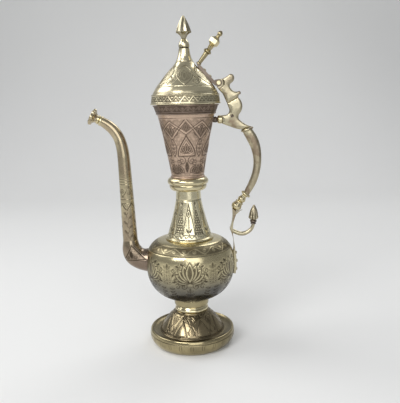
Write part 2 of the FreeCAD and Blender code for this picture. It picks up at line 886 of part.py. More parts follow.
plate("knop_leaf", [
    (leaf_foot[0], leaf_foot[1], -24.0),
    (59.6, 152.2, -24.0),
    (leaf_foot[0] + (tail_corner[0] - leaf_foot[0]) * 0.8,
     leaf_foot[1] + (tail_corner[1] - leaf_foot[1]) * 0.8),
], 3.0)
for number, angle in ((1, 7.5), (2, 0.5), (3, -6.5)):
    rivet = turned("tail_rivet_%d" % number, domed(2.1, 0, 1.4))
    place(
        rivet,
        side_middle + cosine(angle) * tail_side,
        dim.belly_height + sine(angle) * tail_side,
        90.0 - angle,
    )

# Scroll below the handle with its turned ring and bud
scroll_end = (Size(71.2), Size(135.4))
scroll_lean = Size(3.0)
scroll = new_body("scroll_arm")
tube(scroll, "scroll_loft", [
    (48.4, 128.0, 90, 2.4),
    (52.6, 126.2, 116, 2.4),
    (58.0, 124.6, 92, 2.4),
    (64.2, 126.0, 63, 2.3),
    (68.8, 129.6, 38, 2.1),
    (71.0, 134.0, 8, 1.9),
    (scroll_end[0], scroll_end[1], scroll_lean, 1.9),
])
scroll_ring = turned("scroll_ring", [
    (0, 0),
    (2.6, 0, 1.1),
    (2.6, 1.8),
    (2.2, 2.1),
    (3.4, 2.5, 1.2),
    (3.2, 4.4),
    (0, 4.4),
])
place(scroll_ring, scroll_end[0], scroll_end[1], scroll_lean)
scroll_bud = turned("scroll_bud", [
    (0, 0),
    (2.8, 0),
    (5.2, 2.2, 3.2),
    (5.1, 5.0, 24.0),
    (0.6, 17.4),
    (0, 17.4),
])
place(scroll_bud, *along(scroll_end[0], scroll_end[1], scroll_lean, 4.4), scroll_lean)

# Spout: elbow fitted to the belly, slim tube, collar rings and lobed mouth
spout_seam = (Size(-66.4), dim.spout_seam_height, Size(-3.0), Size(8.2))
spout_end = (Size(-90.6), Size(252.5))
elbow_path = [
    (-40.0, dim.spout_root_height, -90, spout_root_radius),
    (-47.5, dim.spout_root_height, -90, spout_root_radius),
    (-55.2, dim.spout_root_height + 1.6, -78, 12.0),
    (-61.8, dim.spout_root_height + 6.6, -50, 11.6),
    (-65.6, dim.spout_root_height + 14.6, -16, 9.9),
    spout_seam,
]
run_top = (Size(-68.9), Size(206.0), Size(-2.0), Size(6.8))
run_steps = 7
tube_path = [spout_seam]
for step in range(1, run_steps):
    tube_path.append(tuple(
        low + (high - low) * (step / run_steps) for low, high in zip(spout_seam, run_top)
    ))
tube_path += [
    run_top,
    (-69.4, 216.0, -5, 6.6),
    (-70.8, 226.0, -13, 6.35),
    (-73.8, 235.4, -27, 6.1),
    (-78.6, 243.0, -41, 5.9),
    (-84.4, 248.5, -52, 5.6),
    (spout_end[0], spout_end[1], dim.mouth_lean, 4.9),
]
elbow = new_body("spout_elbow")
tube(elbow, "elbow_loft", elbow_path)
tube(elbow, "elbow_bore", elbow_path, dim.spout_bore_share, "SubtractiveLoft")
spin(elbow, "elbow_fit", [
    (0, belly_floor),
    (outer["floor"][0], outer["floor"][1], outer["bends"][0]),
    (outer["low"][0], outer["low"][1], outer["bends"][1]),
    (outer["high"][0], outer["high"][1], outer["bends"][2]),
    outer["seam"],
    (0, outer["seam"][1]),
], "Groove")
slim = new_body("spout_tube")
tube(slim, "slim_loft", tube_path)
tube(slim, "slim_bore", tube_path, dim.spout_bore_share, "SubtractiveLoft")
tip_bore = Size(3.1)
spout_ring = turned("spout_ring", [
    (tip_bore, 0),
    (4.9, 0, 1.5),
    (4.9, 2.4),
    (4.2, 2.8),
    (4.8, 3.3, 1.3),
    (4.3, 5.4),
    (tip_bore, 5.4),
])
place(spout_ring, spout_end[0], spout_end[1], dim.mouth_lean)
lip_foot = along(spout_end[0], spout_end[1], dim.mouth_lean, 5.4)
mouth_depth = Size(7.6)
lip = dim.spout_lip_radius
mouth = turned("spout_mouth", [
    (tip_bore, 0),
    (4.2, 0, -6.5),
    (lip, mouth_depth - 0.8, 0.7),
    (lip - 0.6, mouth_depth, 6.8),
    (tip_bore, 1.4),
])
notch = new_sketch(mouth, "lobe_notch_ring", "XY_Plane")
draw_circle(notch, lip + 0.5, 0, 1.5)
notch_cut = mouth.newObject("PartDesign::Pocket", "lobe_notch")
notch_cut.Profile = notch
notch_cut.Type = "ThroughAll"
notch_cut.Reversed = True
doc.recompute()
mouth.Tip = notch_cut
lobes = mouth.newObject("PartDesign::PolarPattern", "lobes")
lobes.Originals = [notch_cut]
lobes.Axis = (notch, ["N_Axis"])
lobes.Angle = 360.0
lobes.Occurrences = 8
mouth.Tip = lobes
doc.recompute()
place(mouth, lip_foot[0], lip_foot[1], dim.mouth_lean)

# The boss is cut to the slope of the cup so that it sits on the wall
boss_fit = new_sketch(boss, "boss_fit_outline")
draw_outline(boss_fit, [
    (-9.0, -12.0),
    (9.0, -12.0),
    (9.0, -6.45),
    (-9.0, -2.25),
])
boss_cut = boss.newObject("PartDesign::Pocket", "boss_fit")
boss_cut.Profile = boss_fit
boss_cut.SideType = "Symmetric"
boss_cut.Length = 30.0
doc.recompute()

faulty = [item.Label for item in doc.Objects if "Invalid" in item.State or "Error" in item.State]
if faulty:
    raise RuntimeError("not sound: " + ", ".join(faulty))
os.makedirs("parts", exist_ok=True)
for body in nodes:
    if body.Shape.isNull() or not body.Shape.isValid():
        raise RuntimeError("%s has no sound shape" % body.Label)
    body.Shape.exportStep("parts/%s.step" % body.Label)
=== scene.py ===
"""A tall engraved brass ewer: dished foot, round belly, long neck with a cup, bell lid,
slim spout and cast handle. Sizes are in millimetres and become metres in the meshes."""

from __future__ import annotations

import json
import logging
import math
from dataclasses import dataclass
from enum import Enum
from typing import Callable

import bpy
import numpy as np
from mathutils import Matrix, Vector

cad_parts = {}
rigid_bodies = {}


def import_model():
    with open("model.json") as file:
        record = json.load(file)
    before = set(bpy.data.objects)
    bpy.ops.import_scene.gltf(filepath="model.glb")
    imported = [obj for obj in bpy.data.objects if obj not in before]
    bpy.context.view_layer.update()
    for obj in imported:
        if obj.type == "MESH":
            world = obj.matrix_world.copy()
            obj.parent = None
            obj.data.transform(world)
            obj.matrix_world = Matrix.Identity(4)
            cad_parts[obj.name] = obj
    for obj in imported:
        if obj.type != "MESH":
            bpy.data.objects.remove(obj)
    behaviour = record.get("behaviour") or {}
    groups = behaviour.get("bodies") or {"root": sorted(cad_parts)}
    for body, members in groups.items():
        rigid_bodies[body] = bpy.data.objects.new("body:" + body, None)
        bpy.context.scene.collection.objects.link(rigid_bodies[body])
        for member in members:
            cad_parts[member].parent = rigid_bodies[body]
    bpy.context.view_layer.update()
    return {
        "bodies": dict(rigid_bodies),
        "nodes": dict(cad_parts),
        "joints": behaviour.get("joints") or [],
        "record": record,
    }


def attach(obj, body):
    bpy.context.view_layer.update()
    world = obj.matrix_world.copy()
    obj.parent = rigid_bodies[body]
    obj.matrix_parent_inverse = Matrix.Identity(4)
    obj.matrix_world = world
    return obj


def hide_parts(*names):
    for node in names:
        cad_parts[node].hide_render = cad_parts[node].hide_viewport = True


MM = 0.001
TAU = 2.0 * math.pi
CRISP_ANGLE = 42.0  # degrees between two faces past which their edge stays crisp
CAST_CRISP_ANGLE = 50.0  # the same for the castings
CAST_VOXEL = 0.4 * MM  # grain of a softened casting
NOTCH_POINTS = 16  # points on the arc of a notch, its two ends included
BUMP_DEPTH = 0.002  # metres that a full bump stands for
PAST_TIP = 1.3  # share of its height up to which an arch's outline is followed
MIX_SHARE, MIX_FIRST, MIX_SECOND, MIX_RESULT = 0, 6, 7, 2  # sockets of a colour mix
LOG = logging.getLogger("ewer")

Array = np.ndarray
Corner = tuple[float, ...]
Spot = tuple[float, float]
Range = tuple[float, float]
Colour = tuple[float, float, float]
Sockets = list[tuple[str, str]]


class Rides(Enum):
    """The rigid bodies of the ewer."""

    POT = "pot"
    LID = "lid"


class Slot(Enum):
    """The record's material slots, and RIVETS_AND_SHADE, a darker look within the castings' slot
    for dark pins that also serves as painted shade on the lid strap.
    """

    FOOT = "foot_brass"
    BODY = "body_brass"
    NECK = "neck_brass"
    CUP = "copper_cup"
    LID = "lid_brass"
    SPOUT = "spout_brass"
    CAST = "cast_brass"
    RIVETS_AND_SHADE = "dark_rivets"
    POLISHED = "polished_brass"


# Outlines and grids


def arc(start: Array, end: Array, radius: float, step: float) -> Array:
    """Points on the short arc from start to end, without the end itself.

    The centre lies on the chord's left normal at sqrt(radius^2 - chord^2 / 4) for a positive
    radius, so the arc swells to the right of the walk, and on its right for a negative one.

    Args:
        start: First point.
        end: Last point.
        radius: Signed radius.
        step: Longest distance between points.

    Returns:
        Rows of points from start towards end.
    """
    chord = end - start
    length = float(np.hypot(*chord))
    left = np.array([-chord[1], chord[0]]) / length
    reach = math.sqrt(max(radius * radius - length * length / 4, 0.0))
    centre = (start + end) / 2 + left * (reach if radius > 0 else -reach)
    first = math.atan2(*(start - centre)[::-1])
    sweep = 2 * math.asin(min(1.0, length / (2 * abs(radius))))
    count = max(2, math.ceil(sweep * abs(radius) / step))
    angles = first + math.copysign(1.0, radius) * np.linspace(0, sweep, count, endpoint=False)
    return centre + abs(radius) * np.stack([np.cos(angles), np.sin(angles)], axis=1)


def trace(corners: list[Corner], step: float) -> Array:
    """Sample an outline of straight edges and arcs at about even steps.

    Args:
        corners: (across, up) or (across, up, radius of the edge to the next corner).
        step: Longest distance between points.

    Returns:
        Rows of (across, up), the last corner included.
    """
    runs = []
    for here, after in zip(corners[:-1], corners[1:]):
        start, end = np.array(here[:2], float), np.array(after[:2], float)
        if len(here) == 3:
            runs.append(arc(start, end, here[2], step))
            continue
        count = max(1, math.ceil(float(np.hypot(*(end - start))) / step))
        shares = np.linspace(0, 1, count, endpoint=False)[:, None]
        runs.append(start + (end - start) * shares)
    runs.append(np.array([corners[-1][:2]], float))
    return np.concatenate(runs)


def travelled(points: Array) -> Array:
    """Distance walked along rows of points, from 0 at the first."""
    return np.concatenate([[0.0], np.cumsum(np.hypot(*np.diff(points, axis=0).T))])


def smooth_through(stations: list[Corner], step: float) -> Array:
    """A Catmull-Rom curve through rows of numbers, even in chord length of the first two.

    Each span is the cubic Hermite blend of its ends with tangents (next - previous) / 2
    scaled to the span.

    Args:
        stations: Rows to pass through, each of which starts with its place.
        step: About the distance between the rows given back.

    Returns:
        Rows on the curve.
    """
    rows = np.array(stations, float)
    gaps = np.hypot(*np.diff(rows[:, :2], axis=0).T)
    knots = travelled(rows[:, :2])
    slopes = np.gradient(rows, knots, axis=0)
    places = np.linspace(0, knots[-1], math.ceil(float(gaps.sum()) / step))
    span = np.clip(np.searchsorted(knots, places, side="right") - 1, 0, len(gaps) - 1)
    width = gaps[span][:, None]
    t = (places[:, None] - knots[span][:, None]) / width
    low, high = rows[span], rows[span + 1]
    return (
        (2 * t**3 - 3 * t**2 + 1) * low
        + (t**3 - 2 * t**2 + t) * width * slopes[span]
        + (3 * t**2 - 2 * t**3) * high
        + (t**3 - t**2) * width * slopes[span + 1]
    )


def polar(middle: Spot, angle: float, reach: float) -> Spot:
    """The point at that angle and distance from a middle."""
    return middle[0] + math.cos(angle) * reach, middle[1] + math.sin(angle) * reach


def leaned(path: Array, lean: Array, side: Array, depth: Array) -> Array:
    """Points of sections across a path in the plane of spout and handle.

    A point is (x + side cos lean, depth, z - side sin lean) about the path's (x, z).

    Args:
        path: (rows, 2) places on the path.
        lean: (rows, 1) lean towards +X in radians.
        side: (rows, columns) distance from the path within the plane.
        depth: (rows, columns) distance behind the plane.

    Returns:
        (rows, columns, 3) points.
    """
    across = path[:, :1] + side * np.cos(lean)
    return np.stack([across, depth, path[:, 1:] - side * np.sin(lean)], axis=-1)


def solid_object(
    name: str,
    points: Array,
    corners: Array,
    sizes: Array,
    layers: dict[str, Array] | None = None,
    sharp: float = CRISP_ANGLE,
) -> bpy.types.Object:
    """Make a mesh object from points and faces, smooth but for the edges past an angle.

    Args:
        name: Name of the piece.
        points: (points, 3) in millimetres.
        corners: Point numbers of all faces, one face after the other.
        sizes: Number of corners of each face.
        layers: Point attributes by name.
        sharp: Angle in degrees past which an edge stays crisp.

    Returns:
        The linked object, at the origin.
    """
    sizes = np.asarray(sizes, np.int32)
    mesh = bpy.data.meshes.new(name)
    mesh.vertices.add(len(points))
    mesh.vertices.foreach_set("co", (points * MM).astype(np.float32).ravel())
    mesh.loops.add(len(corners))
    mesh.loops.foreach_set("vertex_index", np.asarray(corners, np.int32))
    mesh.polygons.add(len(sizes))
    mesh.polygons.foreach_set("loop_start", np.cumsum(sizes, dtype=np.int32) - sizes)
    mesh.update(calc_edges=True)
    for layer, values in (layers or {}).items():
        padded = np.zeros(len(points), np.float32)
        padded[: values.size] = values.ravel()
        mesh.attributes.new(layer, "FLOAT", "POINT").data.foreach_set("value", padded)
    mesh.validate()
    mesh.shade_smooth()
    mesh.set_sharp_from_angle(angle=math.radians(sharp))
    piece = bpy.data.objects.new(name, mesh)
    bpy.context.scene.collection.objects.link(piece)
    return piece


def strips(index: Array, loop_rows: bool) -> Array:
    """Quads between neighbouring rows of point numbers, each row closed on itself.

    Args:
        index: (rows, columns) point numbers.
        loop_rows: Whether the last row is joined to the first.

    Returns:
        (faces, 4) point numbers.
    """
    low = index if loop_rows else index[:-1]
    high = np.roll(index, -1, axis=0) if loop_rows else index[1:]
    quads = np.stack([low, np.roll(low, -1, axis=1), np.roll(high, -1, axis=1), high], axis=-1)
    return quads.reshape(-1, 4)


def grid_object(
    name: str, points: Array, layers: dict[str, Array], hollow: bool
) -> bpy.types.Object:
    """Make a mesh object from a grid of points that closes round its columns.

    Args:
        name: Name of the piece.
        points: (rows, columns, 3) in millimetres; the normal is columns x rows.
        layers: Point attributes by name, each (rows, columns).
        hollow: Join the last row to the first; otherwise each of the two is closed by a fan
            to its middle.

    Returns:
        The linked object, at the origin.
    """
    rows, columns, _ = points.shape
    index = np.arange(rows * columns).reshape(rows, columns)
    quads = strips(index, hollow)
    if hollow:
        sizes = np.full(len(quads), 4)
        return solid_object(name, points.reshape(-1, 3), quads.ravel(), sizes, layers)
    first, last = np.full(columns, index.size), np.full(columns, index.size + 1)
    low, high = index[0], index[-1]
    fans = np.concatenate([
        np.stack([first, np.roll(low, -1), low], axis=1),
        np.stack([last, high, np.roll(high, -1)], axis=1),
    ])
    spots = np.concatenate([points.reshape(-1, 3), points[[0, -1]].mean(axis=1)])
    sizes = np.repeat([4, 3], [len(quads), len(fans)])
    return solid_object(name, spots, np.concatenate([quads.ravel(), fans.ravel()]), sizes, layers)


def capped_rings(name: str, rings: Array) -> bpy.types.Object:
    """Make a mesh object from rings of points with a flat face on the first and the last ring.

    Args:
        name: Name of the piece.
        rings: (rings, points, 3) in millimetres; the normal is points x rings.

    Returns:
        The linked object, at the origin.
    """
    count, size, _ = rings.shape
    index = np.arange(count * size).reshape(count, size)
    quads = strips(index, False)
    corners = np.concatenate([quads.ravel(), index[0, ::-1], index[-1]])
    sizes = np.repeat([4, size], [len(quads), 2])
    return solid_object(name, rings.reshape(-1, 3), corners, sizes, sharp=CAST_CRISP_ANGLE)


def mesh_points(mesh: bpy.types.Mesh) -> Array:
    """The points of a mesh.

    Args:
        mesh: The mesh, in metres.

    Returns:
        (points, 3) in millimetres.
    """
    spots = np.empty(len(mesh.vertices) * 3, np.float32)
    mesh.vertices.foreach_get("co", spots)
    return spots.reshape(-1, 3) / MM


def merged(name: str, pieces: list[bpy.types.Object]) -> bpy.types.Object:
    """Put the meshes of several objects into one and remove the objects.

    Args:
        name: Name of the new piece.
        pieces: Objects at the origin.

    Returns:
        The linked object.
    """
    points, corners, sizes, start = [], [], [], 0
    for piece in pieces:
        mesh = piece.data
        numbers = np.empty(len(mesh.loops), np.int32)
        mesh.loops.foreach_get("vertex_index", numbers)
        totals = np.empty(len(mesh.polygons), np.int32)
        mesh.polygons.foreach_get("loop_total", totals)
        points.append(mesh_points(mesh))
        corners.append(numbers + start)
        sizes.append(totals)
        start += len(mesh.vertices)
        bpy.data.objects.remove(piece)
    whole = [np.concatenate(runs) for runs in (points, corners, sizes)]
    return solid_object(name, *whole, sharp=CAST_CRISP_ANGLE)


# Engraved patterns: every mask is 1 on a cut line and 0 on the plain metal


def stroke(distance: Array, width: float, soft: float = 0.16) -> Array:
    """A line of that width where the distance is near zero, with soft edges."""
    return np.clip(0.5 + (width / 2 - np.abs(distance)) / (2 * soft), 0, 1)


def within(distance: Array, soft: float = 0.16) -> Array:
    """The region where a signed distance is below zero, with soft edges."""
    return np.clip(0.5 - distance / (2 * soft), 0, 1)


def join(*masks: Array) -> Array:
    """The union of masks."""
    return np.maximum.reduce(np.broadcast_arrays(*masks))


def oval(x: Array, y: Array, half_width: float, half_height: float) -> Array:
    """Signed distance to a pointed oval whose half width is w (1 - (y / h)^2).

    Args:
        x: Distance from its axis.
        y: Distance up from its middle.
        half_width: Half width w at the middle.
        half_height: Half height h.

    Returns:
        The distance, below zero inside.
    """
    t = np.clip(y / half_height, -PAST_TIP, PAST_TIP)
    slope = 2 * half_width * t / half_height
    return (np.abs(x) - half_width * (1 - t * t)) / np.sqrt(1 + slope * slope)


def arch(x: Array, y: Array, half_width: Array, height: float, power: float) -> Array:
    """Signed distance to a pointed arch on y = 0 whose half width is w (1 - (y / h)^power).

    Args:
        x: Distance from its axis.
        y: Distance up from its foot.
        half_width: Half width w at the foot, which may change from row to row.
        height: Height h.
        power: How full the arch is.

    Returns:
        The distance, below zero inside.
    """
    t = np.clip(y / height, 0.0, PAST_TIP)
    slope = power * half_width * t ** (power - 1) / height
    side = (np.abs(x) - half_width * (1 - t**power)) / np.sqrt(1 + slope * slope)
    return np.maximum(side, -y)


def onion(x: Array, y: Array, half_width: Array, height: float) -> Array:
    """Signed distance to an onion-shaped arch on y = 0.

    Its half width is w (1 - t)^1.5 (1 + 1.6 t), where t = y / h.

    Args:
        x: Distance from its axis.
        y: Distance up from its foot.
        half_width: Half width w at the foot, which may change from row to row.
        height: Height h.

    Returns:
        The distance, below zero inside.
    """
    t = np.clip(y / height, 0.0, 1.0)
    slope = half_width / height * np.sqrt(1 - t) * (4.0 * t - 0.1)
    outline = half_width * (1 - t) ** 1.5 * (1 + 1.6 * t)
    side = (np.abs(x) - outline) / np.sqrt(1 + slope * slope)
    return np.maximum(np.maximum(side, -y), y - height)


def three_sided(x: Array, y: Array, corners: list[Spot]) -> Array:
    """Signed distance to a triangle.

    Args:
        x: Distance across.
        y: Distance up.
        corners: Its corners, against the clock.

    Returns:
        The distance, below zero inside.
    """
    sides = []
    for (x0, y0), (x1, y1) in zip(corners, corners[1:] + corners[:1]):
        length = math.hypot(x1 - x0, y1 - y0)
        sides.append(((x - x0) * (y1 - y0) - (y - y0) * (x1 - x0)) / length)
    return np.maximum.reduce(sides)


def leaf(x: Array, y: Array, middle: Spot, length: float, width: float, lean: float) -> Array:
    """Signed distance to a pointed leaf.

    Args:
        x: Distance across.
        y: Distance up.
        middle: Middle of the leaf.
        length: Length from tip to tip.
        width: Width at the middle.
        lean: Lean from +y towards +x in degrees.

    Returns:
        The distance, below zero inside.
    """
    c, s = math.cos(math.radians(lean)), math.sin(math.radians(lean))
    dx, dy = x - middle[0], y - middle[1]
    return oval(dx * c - dy * s, dx * s + dy * c, width / 2, length / 2)


def tendrils(x: Array, y: Array, size: float, width: float) -> Array:
    """Curling stems, mirrored in x.

    They are two level lines of sin(u + 1.4 sin v) + sin(0.9 v + 1.5 cos u), where u and v go
    through a full turn with every size of x and y.

    Args:
        x: Distance across.
        y: Distance up.
        size: Size of one curl.
        width: Width of the lines.

    Returns:
        The mask.
    """
    u, v = TAU * np.abs(x) / size, TAU * y / size
    form = np.sin(u + 1.4 * np.sin(v)) + np.sin(0.9 * v + 1.5 * np.cos(u))
    scale = size / (TAU * 1.6)
    return join(stroke(form * scale, width), stroke((form - 1.15) * scale, width))


def spray(x: Array, y: Array, height: float, width: float, pairs: int) -> Array:
    """A stem up the middle with pairs of leaves that lean outwards and grow shorter.

    Args:
        x: Distance from the stem.
        y: Distance from the stem's foot.
        height: Length of the stem.
        width: Length of the lowest leaves.
        pairs: Number of leaf pairs.

    Returns:
        The mask of the leaf outlines and the stem.
    """
    side = np.abs(x)
    stem = stroke(x, width=0.5) * within(np.abs(y - height / 2) - height / 2)
    marks = [stem]
    for number in range(pairs):
        share = (number + 0.5) / pairs
        length = width * (1.15 - 0.55 * share)
        breadth = length * 0.42
        form = leaf(side, y, (breadth, height * share), length=length, width=breadth, lean=52)
        marks.append(join(stroke(form, width=0.45), within(form + length * 0.14)))
    marks.append(within(leaf(x, y, (0.0, height), length=width * 0.7, width=width * 0.34, lean=0)))
    return join(*marks)


def volute(x: Array, y: Array, middle: Spot, size: float, turns: float, start: float) -> Array:
    """A spiral line that winds inwards, r = size (1 - t) while its angle grows by turns.

    Args:
        x: Distance across.
        y: Distance up.
        middle: Middle of the spiral.
        size: Radius at the outer end.
        turns: Number of turns.
        start: Angle of the outer end in degrees, from +x towards +y.

    Returns:
        The mask.
    """
    dx, dy = x - middle[0], y - middle[1]
    lead = ((np.arctan2(dy, dx) - math.radians(start)) / TAU) % 1.0
    away = np.hypot(dx, dy)
    windings = [(lead + number) / turns for number in range(math.ceil(turns))]
    return join(*[stroke(away - size * (1 - t), width=0.75) * (t <= 1) for t in windings])


def lotus(x: Array, y: Array, height: float, pairs: int, spread: float) -> Array:
    """An open flower on the origin: a middle petal in front of pairs that lean further out.

    Args:
        x: Distance from the middle.
        y: Distance from the foot.
        height: Length of the middle petal.
        pairs: Petals on each side.
        spread: Lean of the outermost petals in degrees.

    Returns:
        The mask of the petals' outlines and dark hearts.
    """
    side = np.abs(x)
    mask = np.zeros(np.broadcast(x, y).shape)
    for share in np.linspace(1, 0, pairs + 1):
        lean, length = spread * share, height * (1 - 0.2 * share)
        tilt = math.radians(lean)
        middle = (math.sin(tilt) * length / 2, math.cos(tilt) * length / 2)
        petal = leaf(side, y, middle, length, length * 0.40, lean)
        heart = 0.9 * within(petal + 0.085 * height)
        mask = join(mask * within(-petal), stroke(petal, width=0.9), heart)
    return mask


def garland(x: Array, y: Array, radius: float, reach: float, pitch: float) -> Array:
    """A hanging wreath: a stem on the lower part of a circle with pairs of leaves along it.

    Args:
        x: Distance from the circle's middle.
        y: Distance up from it.
        radius: Radius of the stem.
        reach: Angle in degrees from the lowest point to either end.
        pitch: Distance between leaf pairs.

    Returns:
        The mask.
    """
    away = np.hypot(x, y) - radius
    turn = np.arctan2(np.abs(x), -y)
    place = ((turn * radius / pitch) % 1.0 - 0.5) * pitch
    blades = within(leaf(place, np.abs(away), (0.1, 1.7), length=3.6, width=1.9, lean=38))
    return join(stroke(away, width=0.6), blades) * within((turn - math.radians(reach)) * radius)


@dataclass(frozen=True)
class Wall:
    """The outer face of a turned wall as a grid.

    Attributes:
        phi: (1, columns) angle from the front, growing towards the handle.
        along: (rows, 1) distance up the wall.
        radius: (rows, 1) radius there.
        across: (rows, columns) place along the pot's X axis.
        height: Height, (rows, 1) or (rows, columns).
    """

    phi: Array
    along: Array
    radius: Array
    across: Array
    height: Array

    def cell(self, count: int, turn: float = 0.0) -> Array:
        """Distance round the wall from the middle of the nearest of count equal cells.

        Args:
            count: Cells round the wall.
            turn: Shift of the cells as a share of one cell.

        Returns:
            (rows, columns) in millimetres.
        """
        share = (self.phi * count / TAU - turn + 0.5) % 1.0 - 0.5
        return share * (TAU / count) * self.radius

    def rings(self, places: list[float], width: float) -> Array:
        """Lines round the wall at those distances up it."""
        return join(*[stroke(self.along - place, width) for place in places]) + 0 * self.phi

    def vine(self, middle: float, reach: float, count: int, width: float) -> Array:
        """A wavy stem round the wall with a curl and a bud in each half wave.

        The stem is y = reach sin(count phi); each half wave holds a ring on its open side.

        Args:
            middle: Distance up the wall of the stem's middle line.
            reach: Height of the waves.
            count: Waves round the wall.
            width: Width of the lines.

        Returns:
            The mask.
        """
        y = self.along - middle
        turn = count * self.phi
        slope = reach * count / self.radius * np.cos(turn)
        stem = stroke((y - reach * np.sin(turn)) / np.sqrt(1 + slope**2), width)
        x = self.cell(2 * count, turn=0.5)
        side = np.sign(np.sin(turn))
        away = np.hypot(x, y + side * reach * 0.22)
        curl = stroke(away - reach * 0.5, width)
        bud = within(away - reach * 0.2)
        tip = within(np.hypot(x * 0.6, y - side * reach * 1.35) - reach * 0.22)
        return join(stem, curl, bud, tip)

    def zigzag(self, middle: float, reach: float, count: int, width: float) -> Array:
        """A zigzag line with a lozenge in each of its teeth.

        Args:
            middle: Distance up the wall of the line's middle.
            reach: Height of the teeth above and below it.
            count: Teeth round the wall.
            width: Width of the line.

        Returns:
            The mask.
        """
        y = self.along - middle
        x = self.cell(count)
        half = math.pi * self.radius / count
        wave = reach * (1 - 2 * np.abs(x) / half)
        line = (y - wave) / np.sqrt(1 + (2 * reach / half) ** 2)
        offset, lozenge = reach * 0.45, 0.36
        low = np.abs(x) / half + np.abs(y + offset) / reach - lozenge
        high = np.abs(self.cell(count, turn=0.5)) / half + np.abs(y - offset) / reach - lozenge
        return join(stroke(line, width), within(low * reach), within(high * reach))


# Finishes


def node_group(name: str, inputs: Sockets, outputs: Sockets) -> bpy.types.NodeTree:
    """An empty shader group with named sockets.

    Args:
        name: Name of the group.
        inputs: (socket name, socket type) going in.
        outputs: (socket name, socket type) coming out.

    Returns:
        The group, with its two end nodes named in and out.
    """
    group = bpy.data.node_groups.new(name, "ShaderNodeTree")
    for label, kind in inputs:
        group.interface.new_socket(label, in_out="INPUT", socket_type=kind)
    for label, kind in outputs:
        group.interface.new_socket(label, in_out="OUTPUT", socket_type=kind)
    group.nodes.new("NodeGroupInput").name = "in"
    group.nodes.new("NodeGroupOutput").name = "out"
    return group


class Wiring:
    """Small helper that adds and joins nodes in one tree."""

    def __init__(self, tree: bpy.types.NodeTree) -> None:
        """Keep the tree."""
        self.tree = tree

    def add(
        self, kind: str, values: dict[str | int, object] | None = None, **settings: object
    ) -> bpy.types.Node:
        """Add a node.

        Args:
            kind: Node type.
            values: Input values, or sockets to link from, by input name or number.
            settings: Properties of the node.

        Returns:
            The node.
        """
        node = self.tree.nodes.new(kind)
        for key, value in settings.items():
            setattr(node, key, value)
        for key, value in (values or {}).items():
            if isinstance(value, bpy.types.NodeSocket):
                self.tree.links.new(value, node.inputs[key])
            else:
                node.inputs[key].default_value = value
        return node

    def noise(
        self, place: bpy.types.NodeSocket, scale: float, detail: float = 4.0
    ) -> bpy.types.NodeSocket:
        """A noise value at that scale per metre."""
        values = {"Vector": place, "Scale": scale, "Detail": detail}
        return self.add("ShaderNodeTexNoise", values).outputs["Fac"]

    def ramp(
        self,
        value: object,
        low: float,
        high: float,
        to_low: float = 0.0,
        to_high: float = 1.0,
    ) -> bpy.types.NodeSocket:
        """The value carried from one range into another and held at its ends.

        Args:
            value: The value, or the socket that gives it.
            low: Low end of its range.
            high: High end of its range.
            to_low: What the low end becomes.
            to_high: What the high end becomes.

        Returns:
            The socket of the result.
        """
        values = {"Value": value, "From Min": low, "From Max": high}
        values |= {"To Min": to_low, "To Max": to_high}
        return self.add("ShaderNodeMapRange", values).outputs["Result"]

    def math(self, operation: str, first: object, second: object) -> bpy.types.NodeSocket:
        """One arithmetic step."""
        return self.add("ShaderNodeMath", {0: first, 1: second}, operation=operation).outputs[0]

    def plus(self, first: object, second: object) -> bpy.types.NodeSocket:
        """The sum of two values."""
        return self.math("ADD", first, second)

    def times(self, first: object, second: object) -> bpy.types.NodeSocket:
        """The product of two values."""
        return self.math("MULTIPLY", first, second)

    def mix(self, share: object, first: object, second: object) -> bpy.types.NodeSocket:
        """A colour between two colours."""
        values = {MIX_SHARE: share, MIX_FIRST: first, MIX_SECOND: second}
        return self.add("ShaderNodeMix", values, data_type="RGBA").outputs[MIX_RESULT]


